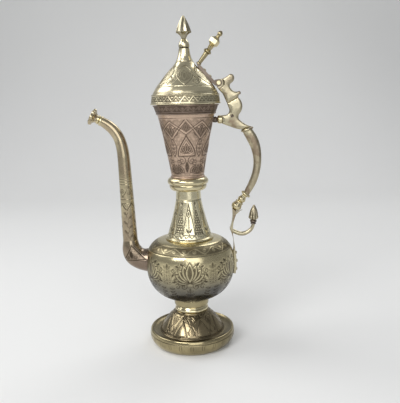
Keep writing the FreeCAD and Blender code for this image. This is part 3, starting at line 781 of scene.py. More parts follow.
def aged_metal_group() -> bpy.types.NodeTree:
    """Old metal with cloudy tarnish, a darker layer low down (painted shade on the mouth band, a
    painted dark reflection on the lower belly), spots, rubbed scratches and beaten waves.

    Dirt lies in the cut lines and in the spots, and the same colour paints shade on the dish floor
    through the cut mask.

    Returns:
        A group from four colours, the cut mask and the mask of the darker layer low down, which is
        partly painted shade, to colour, roughness and height.
    """
    colour, number = "NodeSocketColor", "NodeSocketFloat"
    colours = ("Metal", "Tarnish", "Film_and_shade", "Dirt")
    numbers = ("Cut", "Dull_and_shade", "Age", "Patches", "Shine")
    group = node_group(
        "aged_metal",
        [*((label, colour) for label in colours), *((label, number) for label in numbers)],
        [("Color", colour), ("Roughness", number), ("Height", number)],
    )
    wire = Wiring(group)
    source = group.nodes["in"].outputs
    place = wire.add("ShaderNodeTexCoord").outputs["Object"]
    cloud = wire.ramp(wire.noise(place, scale=34.0, detail=5.0), low=0.38, high=0.66)
    blotch = wire.ramp(wire.noise(place, scale=120.0, detail=6.0), low=0.46, high=0.72)
    grain = wire.noise(place, scale=900.0, detail=3.0)
    upright = (1.0, 1.0, 9.0)
    stretch = wire.add("ShaderNodeMapping", {"Vector": place, "Scale": upright}).outputs[0]
    rubbed = wire.ramp(wire.noise(stretch, scale=260.0, detail=4.0), low=0.55, high=0.75)
    spots = wire.add("ShaderNodeTexVoronoi", {"Vector": place, "Scale": 170.0})
    pits = wire.ramp(spots.outputs["Distance"], low=0.02, high=0.12, to_low=1.0, to_high=0.0)
    tarnish = wire.times(wire.math("MAXIMUM", cloud, wire.times(blotch, 0.7)), source["Age"])
    patches = wire.ramp(wire.noise(place, scale=85.0, detail=3.0), low=0.5, high=0.66)
    tarnish = wire.math("MAXIMUM", tarnish, wire.times(patches, source["Patches"]))
    # The darker layer low down: a painted dark reflection on the lower belly and painted shade from
    # the lid on the mouth band.
    film_and_shade = wire.times(source["Dull_and_shade"], wire.ramp(cloud, low=0.0, high=1.0, to_low=0.82, to_high=1.0))
    aged = wire.mix(film_and_shade, wire.mix(tarnish, source["Metal"], source["Tarnish"]), source["Film_and_shade"])
    pitted = wire.mix(wire.times(pits, wire.times(source["Age"], 0.55)), aged, source["Dirt"])
    deep = wire.times(source["Cut"], wire.ramp(grain, low=0.3, high=0.7, to_low=0.72, to_high=1.0))
    final = wire.mix(deep, pitted, source["Dirt"])
    rough = wire.plus(source["Shine"], wire.times(tarnish, 0.16))
    rough = wire.plus(rough, wire.times(rubbed, 0.07))
    rough = wire.plus(rough, wire.times(deep, 0.25))
    ripples = wire.times(wire.noise(place, scale=130.0, detail=2.0), 0.22)
    height = wire.plus(wire.noise(place, scale=38.0, detail=1.0), ripples)
    height = wire.plus(height, wire.times(grain, 0.025))
    height = wire.math("SUBTRACT", height, wire.times(pits, 0.05))
    for label, result in (("Color", final), ("Roughness", rough), ("Height", height)):
        group.links.new(result, group.nodes["out"].inputs[label])
    return group


@dataclass(frozen=True)
class Finish:
    """One look of the metal.

    Attributes:
        slot: The record's slot.
        metal: Colour where it is clean.
        tarnish: Colour where it is dull.
        film_and_shade: Colour of the darker layer low down, which is painted shade on the mouth
            band and a painted dark reflection on the lower belly.
        dirt: Colour at the bottom of the cut lines, also used as painted shade on the dish floor.
        age: Share of the surface that is dull, 0 to 1.
        patches: Strength of the brown patches, 0 to 1.
        shine: Roughness where it is clean.
        dents: Strength of the bump.
    """

    slot: Slot
    metal: Colour
    tarnish: Colour
    film_and_shade: Colour = (0.15, 0.145, 0.135)
    dirt: Colour = (0.045, 0.034, 0.022)
    age: float = 0.7
    patches: float = 0.0
    shine: float = 0.26
    dents: float = 0.35

    def material(self, group: bpy.types.NodeTree) -> bpy.types.Material:
        """Build the material round the shared group.

        Args:
            group: The aged metal group.

        Returns:
            The material, named for its slot.
        """
        made = bpy.data.materials.new(self.slot.value)
        made.use_nodes = True
        wire = Wiring(made.node_tree)
        shader = made.node_tree.nodes["Principled BSDF"]
        shader.inputs["Metallic"].default_value = 1.0
        aged = wire.add("ShaderNodeGroup", node_tree=group)
        colours = {
            "Metal": self.metal, "Tarnish": self.tarnish, "Film_and_shade": self.film_and_shade, "Dirt": self.dirt
        }
        for label, colour in colours.items():
            aged.inputs[label].default_value = (*colour, 1.0)
        for label, share in {"Age": self.age, "Patches": self.patches, "Shine": self.shine}.items():
            aged.inputs[label].default_value = share
        for label, layer in (("Cut", "cut"), ("Dull_and_shade", "dull")):
            mask = wire.add("ShaderNodeAttribute", attribute_name=layer).outputs["Fac"]
            made.node_tree.links.new(mask, aged.inputs[label])
        relief = {"Strength": self.dents, "Distance": BUMP_DEPTH, "Height": aged.outputs["Height"]}
        bump = wire.add("ShaderNodeBump", relief)
        made.node_tree.links.new(aged.outputs["Color"], shader.inputs["Base Color"])
        made.node_tree.links.new(aged.outputs["Roughness"], shader.inputs["Roughness"])
        made.node_tree.links.new(bump.outputs["Normal"], shader.inputs["Normal"])
        return made


FINISHES = (
    Finish(
        Slot.FOOT,
        metal=(0.46, 0.39, 0.225),
        tarnish=(0.18, 0.15, 0.09),
        film_and_shade=(0.27, 0.218, 0.132),
        age=0.7,
        shine=0.14,
    ),
    Finish(
        Slot.BODY,
        metal=(0.66, 0.58, 0.36),
        tarnish=(0.26, 0.225, 0.14),
        # A neutral dark grey: painted dark reflection on the lower belly.
        film_and_shade=(0.105, 0.104, 0.104),
        age=0.5,
        shine=0.20,
    ),
    Finish(Slot.NECK, metal=(0.88, 0.81, 0.56), tarnish=(0.54, 0.475, 0.31), age=0.4, shine=0.20),
    Finish(
        Slot.CUP,
        metal=(0.63, 0.47, 0.355),
        tarnish=(0.36, 0.27, 0.205),
        # Used only by the mouth band: painted shade from the lid.
        film_and_shade=(0.19, 0.15, 0.125),
        dirt=(0.085, 0.062, 0.046),
        age=0.75,
        shine=0.24,
    ),
    Finish(Slot.LID, metal=(0.79, 0.72, 0.49), tarnish=(0.40, 0.325, 0.22), age=0.6, shine=0.19),
    Finish(
        Slot.SPOUT,
        metal=(0.62, 0.545, 0.355),
        tarnish=(0.32, 0.235, 0.165),
        film_and_shade=(0.235, 0.178, 0.138),
        age=0.65,
        patches=0.5,
        shine=0.17,
    ),
    Finish(
        Slot.CAST,
        metal=(0.56, 0.51, 0.35),
        tarnish=(0.25, 0.185, 0.13),
        age=0.6,
        patches=0.85,
        shine=0.25,
        dents=0.7,
    ),
    Finish(
        Slot.RIVETS_AND_SHADE,
        metal=(0.19, 0.155, 0.125),
        tarnish=(0.10, 0.078, 0.062),
        age=0.7,
        shine=0.24,
        dents=0.5,
    ),
    Finish(
        Slot.POLISHED, metal=(0.74, 0.655, 0.42), tarnish=(0.34, 0.29, 0.185), age=0.45, shine=0.16
    ),
)


@dataclass
class Workshop:
    """What every sub-assembly needs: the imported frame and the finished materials."""

    frame: dict
    materials: dict[Slot, bpy.types.Material]

    def dress(self, slot: Slot, *nodes: str) -> None:
        """Give CAD nodes that keep their own shape a finish.

        Args:
            slot: The finish.
            nodes: Names of the nodes.
        """
        for name in nodes:
            node = self.frame["nodes"][name]
            node.data.materials.clear()
            node.data.materials.append(self.materials[slot])
            LOG.info("%s keeps its shape, %s", name, slot.value)

    def place(self, piece: bpy.types.Object, slot: Slot, body: Rides, *nodes: str) -> None:
        """Give a new piece its finish and its body, and let it stand for CAD nodes.

        Args:
            piece: The new piece.
            slot: Its finish.
            body: The body that it moves with.
            nodes: Names of the nodes that it stands for.
        """
        piece.data.materials.append(self.materials[slot])
        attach(piece, body.value)
        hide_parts(*nodes)
        faces = len(piece.data.polygons)
        LOG.info("%s: %d faces, stands for %s", piece.name, faces, ", ".join(nodes))


@dataclass(frozen=True)
class Seat:
    """Where a turned piece stands.

    Attributes:
        across: X of the foot of its axis.
        up: Z of the foot of its axis.
        lean: Lean of the axis towards +X in degrees.
    """

    across: float = 0.0
    up: float = 0.0
    lean: float = 0.0

    def slant(self) -> tuple[float, float]:
        """Cosine and sine of the lean."""
        return math.cos(math.radians(self.lean)), math.sin(math.radians(self.lean))

    def carry(self, points: Array) -> Array:
        """Lean points about Y and move them to the seat.

        Args:
            points: (rows, columns, 3) points about the origin.

        Returns:
            The points about the seat.
        """
        c, s = self.slant()
        x, y, z = points[..., 0], points[..., 1], points[..., 2]
        return np.stack([x * c + z * s + self.across, y, z * c - x * s + self.up], axis=-1)

    def further(self, distance: float) -> Seat:
        """The seat that much further along the axis."""
        c, s = self.slant()
        return Seat(self.across + s * distance, self.up + c * distance, self.lean)

    def edge(self, reach: float) -> Spot:
        """The point that far from the foot of the axis and square to it."""
        c, s = self.slant()
        return self.across + c * reach, self.up - s * reach


Pattern = Callable[[Wall], "Array | tuple[Array, Array]"]


def turned_shell(
    name: str,
    outer: list[Corner],
    inner: list[Corner],
    pattern: Pattern,
    columns: int,
    step: float,
    depth: float = 0.28,
    seat: Seat = Seat(),
    lobes: tuple[int, float] = (0, 0.0),
    dull: Range | None = None,
    inner_step: float = 2.5,
) -> bpy.types.Object:
    """A piece turned about its own axis with a pattern cut into its outer face.

    A point of the grid is (r sin phi, -r cos phi, z), moved along the outline's normal by
    minus depth times the cut, plus the swell that the pattern gives. Lobes (n, d) draw the
    radius in by d (1 - |cos(n phi / 2)|) ((r - least) / (most - least))^2 of itself.

    Args:
        name: Name of the piece.
        outer: Outline of the outer face, walked upwards.
        inner: Outline of the inner face, walked downwards; none for a solid piece.
        pattern: Function of a Wall that gives the cut mask, or the cut mask and the swell.
        columns: Points round the wall.
        step: Distance between rows on the outer face.
        depth: Depth of the cut.
        seat: Where the axis stands.
        lobes: Number and depth of the lobes round the piece.
        dull: Heights at which the darker layer low down is full and gone; on the belly it is a
            painted dark reflection and on the mouth band painted shade; none for clean metal.
        inner_step: Distance between rows on the inner face.

    Returns:
        The closed piece.
    """
    face = trace(outer, step)
    tangent = np.gradient(face, axis=0)
    tangent /= np.hypot(*tangent.T)[:, None]
    normal = np.stack([tangent[:, 1], -tangent[:, 0]], axis=1)
    along = travelled(face)[:, None]
    phi = (np.arange(columns) / columns - 0.5) * TAU
    wall = Wall(phi[None, :], along, face[:, :1], face[:, :1] * np.sin(phi), face[:, 1:])
    cut, lift = engraved(pattern, wall, depth)
    radius, height = face[:, :1] + normal[:, :1] * lift, face[:, 1:] + normal[:, 1:] * lift
    if inner:
        back = np.repeat(trace(inner, inner_step)[:, None, :], columns, axis=1)
        radius = np.concatenate([radius, back[..., 0]])
        height = np.concatenate([height, back[..., 1]])
        cut = np.concatenate([cut, np.zeros(back.shape[:2])])
    if lobes[0]:
        weight = ((radius - radius.min()) / np.ptp(radius)) ** 2
        radius = radius * (1 - lobes[1] * (1 - np.abs(np.cos(lobes[0] * phi / 2))) * weight)
    points = np.stack([radius * np.sin(phi), -radius * np.cos(phi), height], axis=-1)
    layers = {"cut": cut, "dull": film_and_shade_share(height, dull)}
    return grid_object(name, seat.carry(points), layers, bool(inner))


def film_and_shade_share(height: Array, dull: Range | None) -> Array:
    """How dark the layer low down is by height, smooth between full and none; it is a painted dark
    reflection on the belly and painted shade on the mouth band.

    Args:
        height: Heights of the points.
        dull: Heights at which the darker layer is full and gone; none for clean metal.

    Returns:
        The share for every point.
    """
    if dull is None:
        return np.zeros_like(height)
    share = np.clip((dull[1] - height) / (dull[1] - dull[0]), 0, 1)
    return share * share * (3 - 2 * share)


def engraved(pattern: Pattern, wall: Wall, depth: float) -> tuple[Array, Array]:
    """Cut mask and movement along the normal of a patterned wall, still at its two ends.

    Args:
        pattern: Function of a Wall that gives the cut mask, or the cut mask and the swell.
        wall: The wall.
        depth: Depth of the cut.

    Returns:
        The mask and the movement, both (rows, columns).
    """
    result = pattern(wall)
    cut, swell = result if isinstance(result, tuple) else (result, 0.0)
    shape = (len(wall.along), wall.phi.size)
    cut = np.broadcast_to(cut, shape).copy()
    cut[[0, -1]] = 0.0
    lift = np.broadcast_to(swell - depth * cut, shape).copy()
    lift[[0, -1]] = 0.0
    return cut, lift


def swept_tube(
    name: str,
    stations: list[Corner],
    share: float,
    pattern: Pattern,
    columns: int,
    step: float,
    depth: float = 0.22,
    dull: Range | None = None,
) -> bpy.types.Object:
    """A tube along a curve in the plane of spout and handle, with a pattern cut into it.

    The curve passes through the stations (across, up, lean, radius); a section is
    middle + r (sin phi (cos lean, 0, -sin lean) - cos phi (0, 1, 0)).

    Args:
        name: Name of the piece.
        stations: Rows of (across, up, lean in degrees, radius).
        share: Bore as a share of the radius.
        pattern: Function of a Wall that gives the cut mask, or the cut mask and the swell.
        columns: Points round the tube.
        step: Distance between rows.
        depth: Depth of the cut.
        dull: Heights at which the metal is all dull and all clean; none for clean metal.

    Returns:
        The closed piece.
    """
    path = smooth_through(stations, step)
    lean, radius = np.radians(path[:, 2:3]), path[:, 3:]
    along = travelled(path[:, :2])[:, None]
    phi = (np.arange(columns) / columns - 0.5) * TAU
    skin = leaned(path[:, :2], lean, radius * np.sin(phi), -radius * np.cos(phi))
    wall = Wall(phi[None, :], along, radius, skin[..., 0], skin[..., 2])
    cut, lift = engraved(pattern, wall, depth)
    bore = np.linspace(len(path) - 1, 0, len(path) // 4).round().astype(int)
    reach = np.concatenate([radius + lift, np.repeat(radius[bore] * share, columns, axis=1)])
    lean = np.concatenate([lean, lean[bore]])
    middle = np.concatenate([path[:, :2], path[bore, :2]])
    points = leaned(middle, lean, reach * np.sin(phi), -reach * np.cos(phi))
    cut = np.concatenate([cut, np.zeros((len(bore), columns))])
    layers = {"cut": cut, "dull": film_and_shade_share(points[..., 2], dull)}
    return grid_object(name, points, layers, True)


def fluted(count: int, share: float) -> Pattern:
    """Hollow faces with a ridge between them and a dark line round their foot.

    The radius falls by share |cos(count phi / 2)| of itself.

    Args:
        count: Number of faces.
        share: Depth of a face as a share of the radius.

    Returns:
        The pattern.
    """
    def pattern(wall: Wall) -> tuple[Array, Array]:
        """The foot line and the hollow faces of one wall.

        Args:
            wall: The outer face.

        Returns:
            The cut mask and the swell.
        """
        face = np.abs(np.cos(count * wall.phi / 2))
        belt = wall.along[int(np.argmax(wall.radius))]
        return 0.8 * stroke(wall.along - belt + 1.6 * face, width=0.5), -share * face * wall.radius

    return pattern


def creased(count: int, width: float) -> Pattern:
    """Dark upright lines where the lobes of a piece meet.

    The mask is full where |cos(count phi / 2)| is below the width.

    Args:
        count: Number of lobes.
        width: Width of the lines as a share.

    Returns:
        The pattern.
    """
    def pattern(wall: Wall) -> Array:
        """The lines of one wall."""
        crease = np.abs(np.cos(count * wall.phi / 2)) - width
        return 0.85 * within(crease, soft=0.1) + 0 * wall.along

    return pattern


def closed_outline(corners: list[Corner], step: float = 0.5) -> Array:
    """Sample a closed outline of straight edges and arcs."""
    return trace([*corners, corners[0][:2]], step)[:-1]


def notched(outline: Array, middle: Spot, radius: float) -> Array:
    """Cut a circle out of one end of a closed outline.

    Args:
        outline: The outline, its inside on the left.
        middle: Middle of the circle.
        radius: Radius of the circle.

    Returns:
        The points outside the circle, in one run, and the circle's arc back to its start.
    """
    spot = np.array(middle)
    outside = np.hypot(*(outline - spot).T) > radius
    first = int(np.flatnonzero(outside & ~np.roll(outside, 1))[0])
    kept = np.roll(outline, -first, axis=0)[np.roll(outside, -first)]
    angles = np.arctan2(*(kept[[-1, 0]] - spot).T[::-1])
    sweep = np.linspace(angles[0], angles[1], NOTCH_POINTS)[1:-1]
    return np.concatenate([kept, spot + radius * np.stack([np.cos(sweep), np.sin(sweep)], axis=1)])


def plate(name: str, outline: Array, low: float, high: float) -> bpy.types.Object:
    """A flat plate in the plane of spout and handle.

    Args:
        name: Name of the piece.
        outline: Closed outline of (across, up), its inside on the left.
        low: Y of the near face.
        high: Y of the far face.

    Returns:
        The closed piece.
    """
    rings = [
        np.stack([outline[:, 0], np.full(len(outline), level), outline[:, 1]], axis=1)
        for level in (high, low)
    ]
    return capped_rings(name, np.stack(rings))


def soften(piece: bpy.types.Object, rounds: int) -> bpy.types.Object:
    """Round a casting off all over.

    Args:
        piece: The sharp piece.
        rounds: Smoothing rounds; more of them give rounder edges.

    Returns:
        The piece.
    """
    skin = piece.modifiers.new("skin", "REMESH")
    skin.mode = "VOXEL"
    skin.voxel_size = CAST_VOXEL
    skin.use_smooth_shade = True
    wear = piece.modifiers.new("wear", "SMOOTH")
    wear.factor = 0.5
    wear.iterations = rounds
    return piece


def crowned(
    piece: bpy.types.Object, outline: Array, core: float, rim: float, share: float
) -> bpy.types.Object:
    """Crown the two faces of a softened casting, so that it is thinner along its outline.

    What stands out past the core is multiplied by s + (1 - s) sqrt(t (2 - t)), where t is the
    distance from the outline as a share of the rim, at most 1.

    Args:
        piece: The casting, with its modifiers still live.
        outline: Its outline of (across, up).
        core: Half thickness that stays.
        rim: Distance from the outline at which the full thickness is reached.
        share: Share s of the rest that is left at the outline.

    Returns:
        The casting, with its modifiers and its crown in the mesh.
    """
    graph = bpy.context.evaluated_depsgraph_get()
    mesh = bpy.data.meshes.new_from_object(piece.evaluated_get(graph))
    points = mesh_points(mesh)
    gaps = points[:, None, [0, 2]] - outline[None].astype(np.float32)
    t = np.clip(np.hypot(gaps[..., 0], gaps[..., 1]).min(axis=1) / rim, 0, 1)
    depth = np.abs(points[:, 1])
    proud = np.maximum(depth - core, 0) * (share + (1 - share) * np.sqrt(t * (2 - t)))
    points[:, 1] = np.sign(points[:, 1]) * (np.minimum(depth, core) + proud)
    mesh.vertices.foreach_set("co", (points * MM).astype(np.float32).ravel())
    mesh.update()
    piece.modifiers.clear()
    piece.data = mesh
    return piece


def swept_bar(
    name: str, stations: list[Corner], power: float, columns: int, step: float
) -> bpy.types.Object:
    """A solid bar along a curve whose section is the rounded box |x / a|^p + |y / b|^p = 1.

    Args:
        name: Name of the piece.
        stations: Rows of (across, up, lean in degrees, a, b).
        power: The power p; 2 is an ellipse.
        columns: Points round the bar.
        step: Distance between rows.

    Returns:
        The closed piece.
    """
    path = smooth_through(stations, step)
    turn = np.arange(columns) / columns * TAU
    shape = (np.abs(np.cos(turn)) ** power + np.abs(np.sin(turn)) ** power) ** (-1 / power)
    side, depth = path[:, 3:4] * shape * np.cos(turn), path[:, 4:5] * shape * np.sin(turn)
    return capped_rings(name, leaned(path[:, :2], np.radians(path[:, 2:3]), side, depth))


# Sub-assemblies: each holds its sizes, draws its ornament and builds its pieces


@dataclass
class Foot:
    """The dished foot with its engraved cone."""

    rest_radius: float = 41.0
    rest_width: float = 3.0
    swell: float = 48.1
    swell_height: float = 12.5
    lip_radius: float = 47.4
    lip_height: float = 18.0
    floor_height: float = 15.4
    wall: float = 1.8
    thin_wall: float = 1.6
    skirt_share: float = 1.4
    cone_base: float = 36.8
    cone_top: float = 18.6
    cone_height: float = 38.5
    cone_curve: float = 90.0
    cone_lap: float = 4.0
    darkened: Range = (30.0, 60.0)
    petals: int = 8

    def dish_pattern(self, wall: Wall) -> Array:
        """Painted shade on the dish floor inside the lip, a ring below it and pairs of short
        upright lines.

        Args:
            wall: The outer face of the dish.

        Returns:
            The cut mask.
        """
        x, y = np.abs(wall.cell(self.petals * 3)), wall.along
        pairs = stroke(x - 1.3, width=0.65) * within(np.abs(y - 12.6) - 2.8)
        # The last mask is painted shade on the dish floor between the lip and the cone.
        return join(0.8 * pairs, wall.rings([16.6], width=0.6), 0.62 * within(22.5 - y, soft=1.2))

    def cone_pattern(self, wall: Wall) -> tuple[Array, Array]:
        """Plain lancets, arches that cross between them, and a drop with curls at each crossing.

        Args:
            wall: The outer face of the cone.

        Returns:
            The cut mask and the swell.
        """
        x, gap = wall.cell(self.petals, turn=0.5), wall.cell(self.petals)
        side, y = np.abs(x), wall.along - 2.2
        half = math.pi * wall.radius / self.petals
        lancet = arch(x, y, half * 0.56, height=19.0, power=2.2)
        lattice = join(*[
            stroke(arch(place, y, half * 1.35, height=25.0, power=2.0), width=0.8)
            for place in (side, 2 * half - side)
        ])
        drop = leaf(gap, y, (0.0, 17.0), length=11.0, width=6.4, lean=0)
        curls = join(
            volute(np.abs(gap), y, (3.4, 24.0), size=2.2, turns=1.3, start=250.0),
            within(leaf(np.abs(gap), y, (3.2, 5.0), length=5.4, width=2.0, lean=35)),
            within(leaf(x, y, (0.0, 22.8), length=5.0, width=2.2, lean=0)),
        )
        marks = join(lattice, stroke(drop, width=0.8), within(drop + 1.5), curls)
        marks = 0.75 * (marks * within(0.5 - lancet))
        lines = join(stroke(lancet, width=0.9), 0.7 * stroke(lancet + 1.5, width=0.5))
        cut = join(marks, lines, wall.rings([0.9, 27.4, 28.6], width=0.6))
        return cut, 0.35 * within(lancet, soft=0.8)

    def build(self, shop: Workshop) -> None:
        """Make the dish and the cone and dress the rings above them.

        Args:
            shop: The frame and the materials.
        """
        floor = self.floor_height
        dish = turned_shell(
            "foot_dish_engraved",
            [
                (self.rest_radius, 0.0, 14.6),
                (self.swell, self.swell_height, 12.0),
                (self.lip_radius, self.lip_height - 1.6, 1.7),
                (self.lip_radius - 2.0, self.lip_height, -8.0),
                (self.cone_base, floor),
                (self.cone_base - self.cone_lap, floor),
            ],
            [
                (self.cone_base - self.cone_lap, floor - self.wall),
                (self.swell - 5.0, floor - self.wall),
                (self.rest_radius - self.rest_width, 0.0),
            ],
            self.dish_pattern,
            columns=480,
            step=0.5,
        )
        shop.place(dish, Slot.FOOT, Rides.POT, "foot_dish")
        thick = self.thin_wall * self.skirt_share
        cone = turned_shell(
            "foot_cone_engraved",
            [(self.cone_base, floor, self.cone_curve), (self.cone_top, self.cone_height)],
            [(self.cone_top - thick, self.cone_height), (self.cone_base - thick, floor)],
            self.cone_pattern,
            columns=480,
            step=0.33,
            dull=self.darkened,
        )
        shop.place(cone, Slot.FOOT, Rides.POT, "foot_cone")
        shop.dress(Slot.POLISHED, "foot_bead")
        shop.dress(Slot.FOOT, "foot_collar")


@dataclass
class Belly:
    """The round belly of three tangent arcs, in a bowl and a shoulder."""

    radius: float = 49.1
    height: float = 93.0
    side_curve: float = 75.0
    low_angle: float = 7.5
    low_curve: float = 34.0
    high_angle: float = 9.2
    shoulder_curve: float = 20.0
    seam_angle: float = 24.2
    wall: float = 1.8
    floor_bore: float = 13.0
    shoulder_bore: float = 20.5
    flower_foot: float = 84.5
    # Heights of the painted dark reflection low on the bowl: full below the first, gone above the
    # second.
    darkened: Range = (72.0, 98.0)
    flowers: int = 6

    def points(self, inset: float) -> dict[str, Spot]:
        """The joints of the arcs, moved in by the inset.

        Args:
            inset: Distance inwards from the outer face.

        Returns:
            floor, low, high, seam and roof as (across, up).
        """
        low, high = math.radians(-self.low_angle), math.radians(self.high_angle)
        side = (self.radius - self.side_curve, self.height)
        under = polar(side, low, self.side_curve - self.low_curve)
        over = polar(side, high, self.side_curve - self.shoulder_curve)
        return {
            "floor": (under[0], under[1] - self.low_curve + inset),
            "low": polar(side, low, self.side_curve - inset),
            "high": polar(side, high, self.side_curve - inset),
            "seam": polar(over, math.radians(self.seam_angle), self.shoulder_curve - inset),
            "roof": (over[0], over[1] + self.shoulder_curve - inset),
        }

    def bowl_pattern(self, wall: Wall) -> tuple[Array, Array]:
        """A lotus between curls over a hanging wreath, with a leaf spray between the flowers.

        Args:
            wall: The outer face of the bowl.

        Returns:
            The cut mask and the swell.
        """
        x = wall.cell(self.flowers)
        side = np.abs(x)
        y = wall.height - self.flower_foot
        flower = lotus(x, y, height=22.0, pairs=4, spread=80.0)
        halo = np.hypot(x / 19.5, (y - 8.5) / 14.0) - 1
        heart = np.hypot(x / 15.0, (y - 8.0) / 12.0) - 1
        ground = 0.55 * tendrils(x, y, size=6.4, width=0.7)
        ground = ground * within(halo * 14.0, soft=1.5) * within(-heart * 12.0)
        curls = join(
            volute(side, y, (6.5, -4.2), size=3.6, turns=1.4, start=150.0),
            volute(side, y, (13.5, -4.6), size=3.2, turns=1.3, start=40.0),
            volute(side, y, (17.6, 13.4), size=2.9, turns=1.3, start=210.0),
        )
        leaves = (((9.0, 20.0), 40), ((13.6, 17.6), 70), ((18.6, 8.0), 150), ((17.2, 0.5), 110))
        sprigs = [
            within(leaf(side, y, spot, length=4.6, width=2.2, lean=lean)) for spot, lean in leaves
        ]
        wreath = garland(x, y + 6.0, radius=19.5, reach=92.0, pitch=3.9)
        stem = spray(x, y + 22.0, height=14.0, width=6.5, pairs=3)
        between = spray(wall.cell(self.flowers, turn=0.5), y + 2.0, height=20.0, width=7.5, pairs=5)
        seam = wall.rings([27.0], width=0.6)
        marks = join(flower, ground, curls, *sprigs, 0.7 * wreath, 0.7 * stem, 0.8 * between, seam)
        return marks, 0.2 * within(np.hypot(x * 0.62, y - 9.0) - 11.5, soft=2.0)

    def shoulder_pattern(self, wall: Wall) -> Array:
        """A bright scroll on a dark band round the shoulder between two pairs of lines.

        Args:
            wall: The outer face of the shoulder.

        Returns:
            The cut mask.
        """
        middle = 8.2
        scroll = wall.vine(middle=middle, reach=3.0, count=12, width=0.8)
        ground = within(np.abs(wall.along - middle) - 4.5)
        return join(
            0.8 * ground * (1 - 0.85 * scroll), wall.rings([2.2, 3.2, 13.2, 14.6], width=0.7)
        )

    def build(self, shop: Workshop) -> None:
        """Make the bowl and the shoulder and dress the ring at the neck.

        Args:
            shop: The frame and the materials.
        """
        out, back = self.points(0.0), self.points(self.wall)
        floor, roof = out["floor"][1], out["roof"][1]
        bowl = turned_shell(
            "belly_engraved",
            [
                (self.floor_bore, floor),
                (*out["floor"], self.low_curve),
                (*out["low"], self.side_curve),
                (*out["high"], self.shoulder_curve),
                out["seam"],
            ],
            [
                (*back["seam"], -(self.shoulder_curve - self.wall)),
                (*back["high"], -(self.side_curve - self.wall)),
                (*back["low"], -(self.low_curve - self.wall)),
                back["floor"],
                (self.floor_bore, floor + self.wall),
            ],
            self.bowl_pattern,
            columns=576,
            step=0.52,
            dull=self.darkened,
            inner_step=6.0,
        )
        shop.place(bowl, Slot.BODY, Rides.POT, "body_bowl")
        shoulder = turned_shell(
            "shoulder_engraved",
            [(*out["seam"], self.shoulder_curve), out["roof"], (self.shoulder_bore, roof)],
            [
                (self.shoulder_bore, roof - self.wall),
                (*back["roof"], -(self.shoulder_curve - self.wall)),
                back["seam"],
            ],
            self.shoulder_pattern,
            columns=520,
            step=0.4,
        )
        shop.place(shoulder, Slot.BODY, Rides.POT, "body_shoulder")
        shop.dress(Slot.POLISHED, "neck_base_ring")


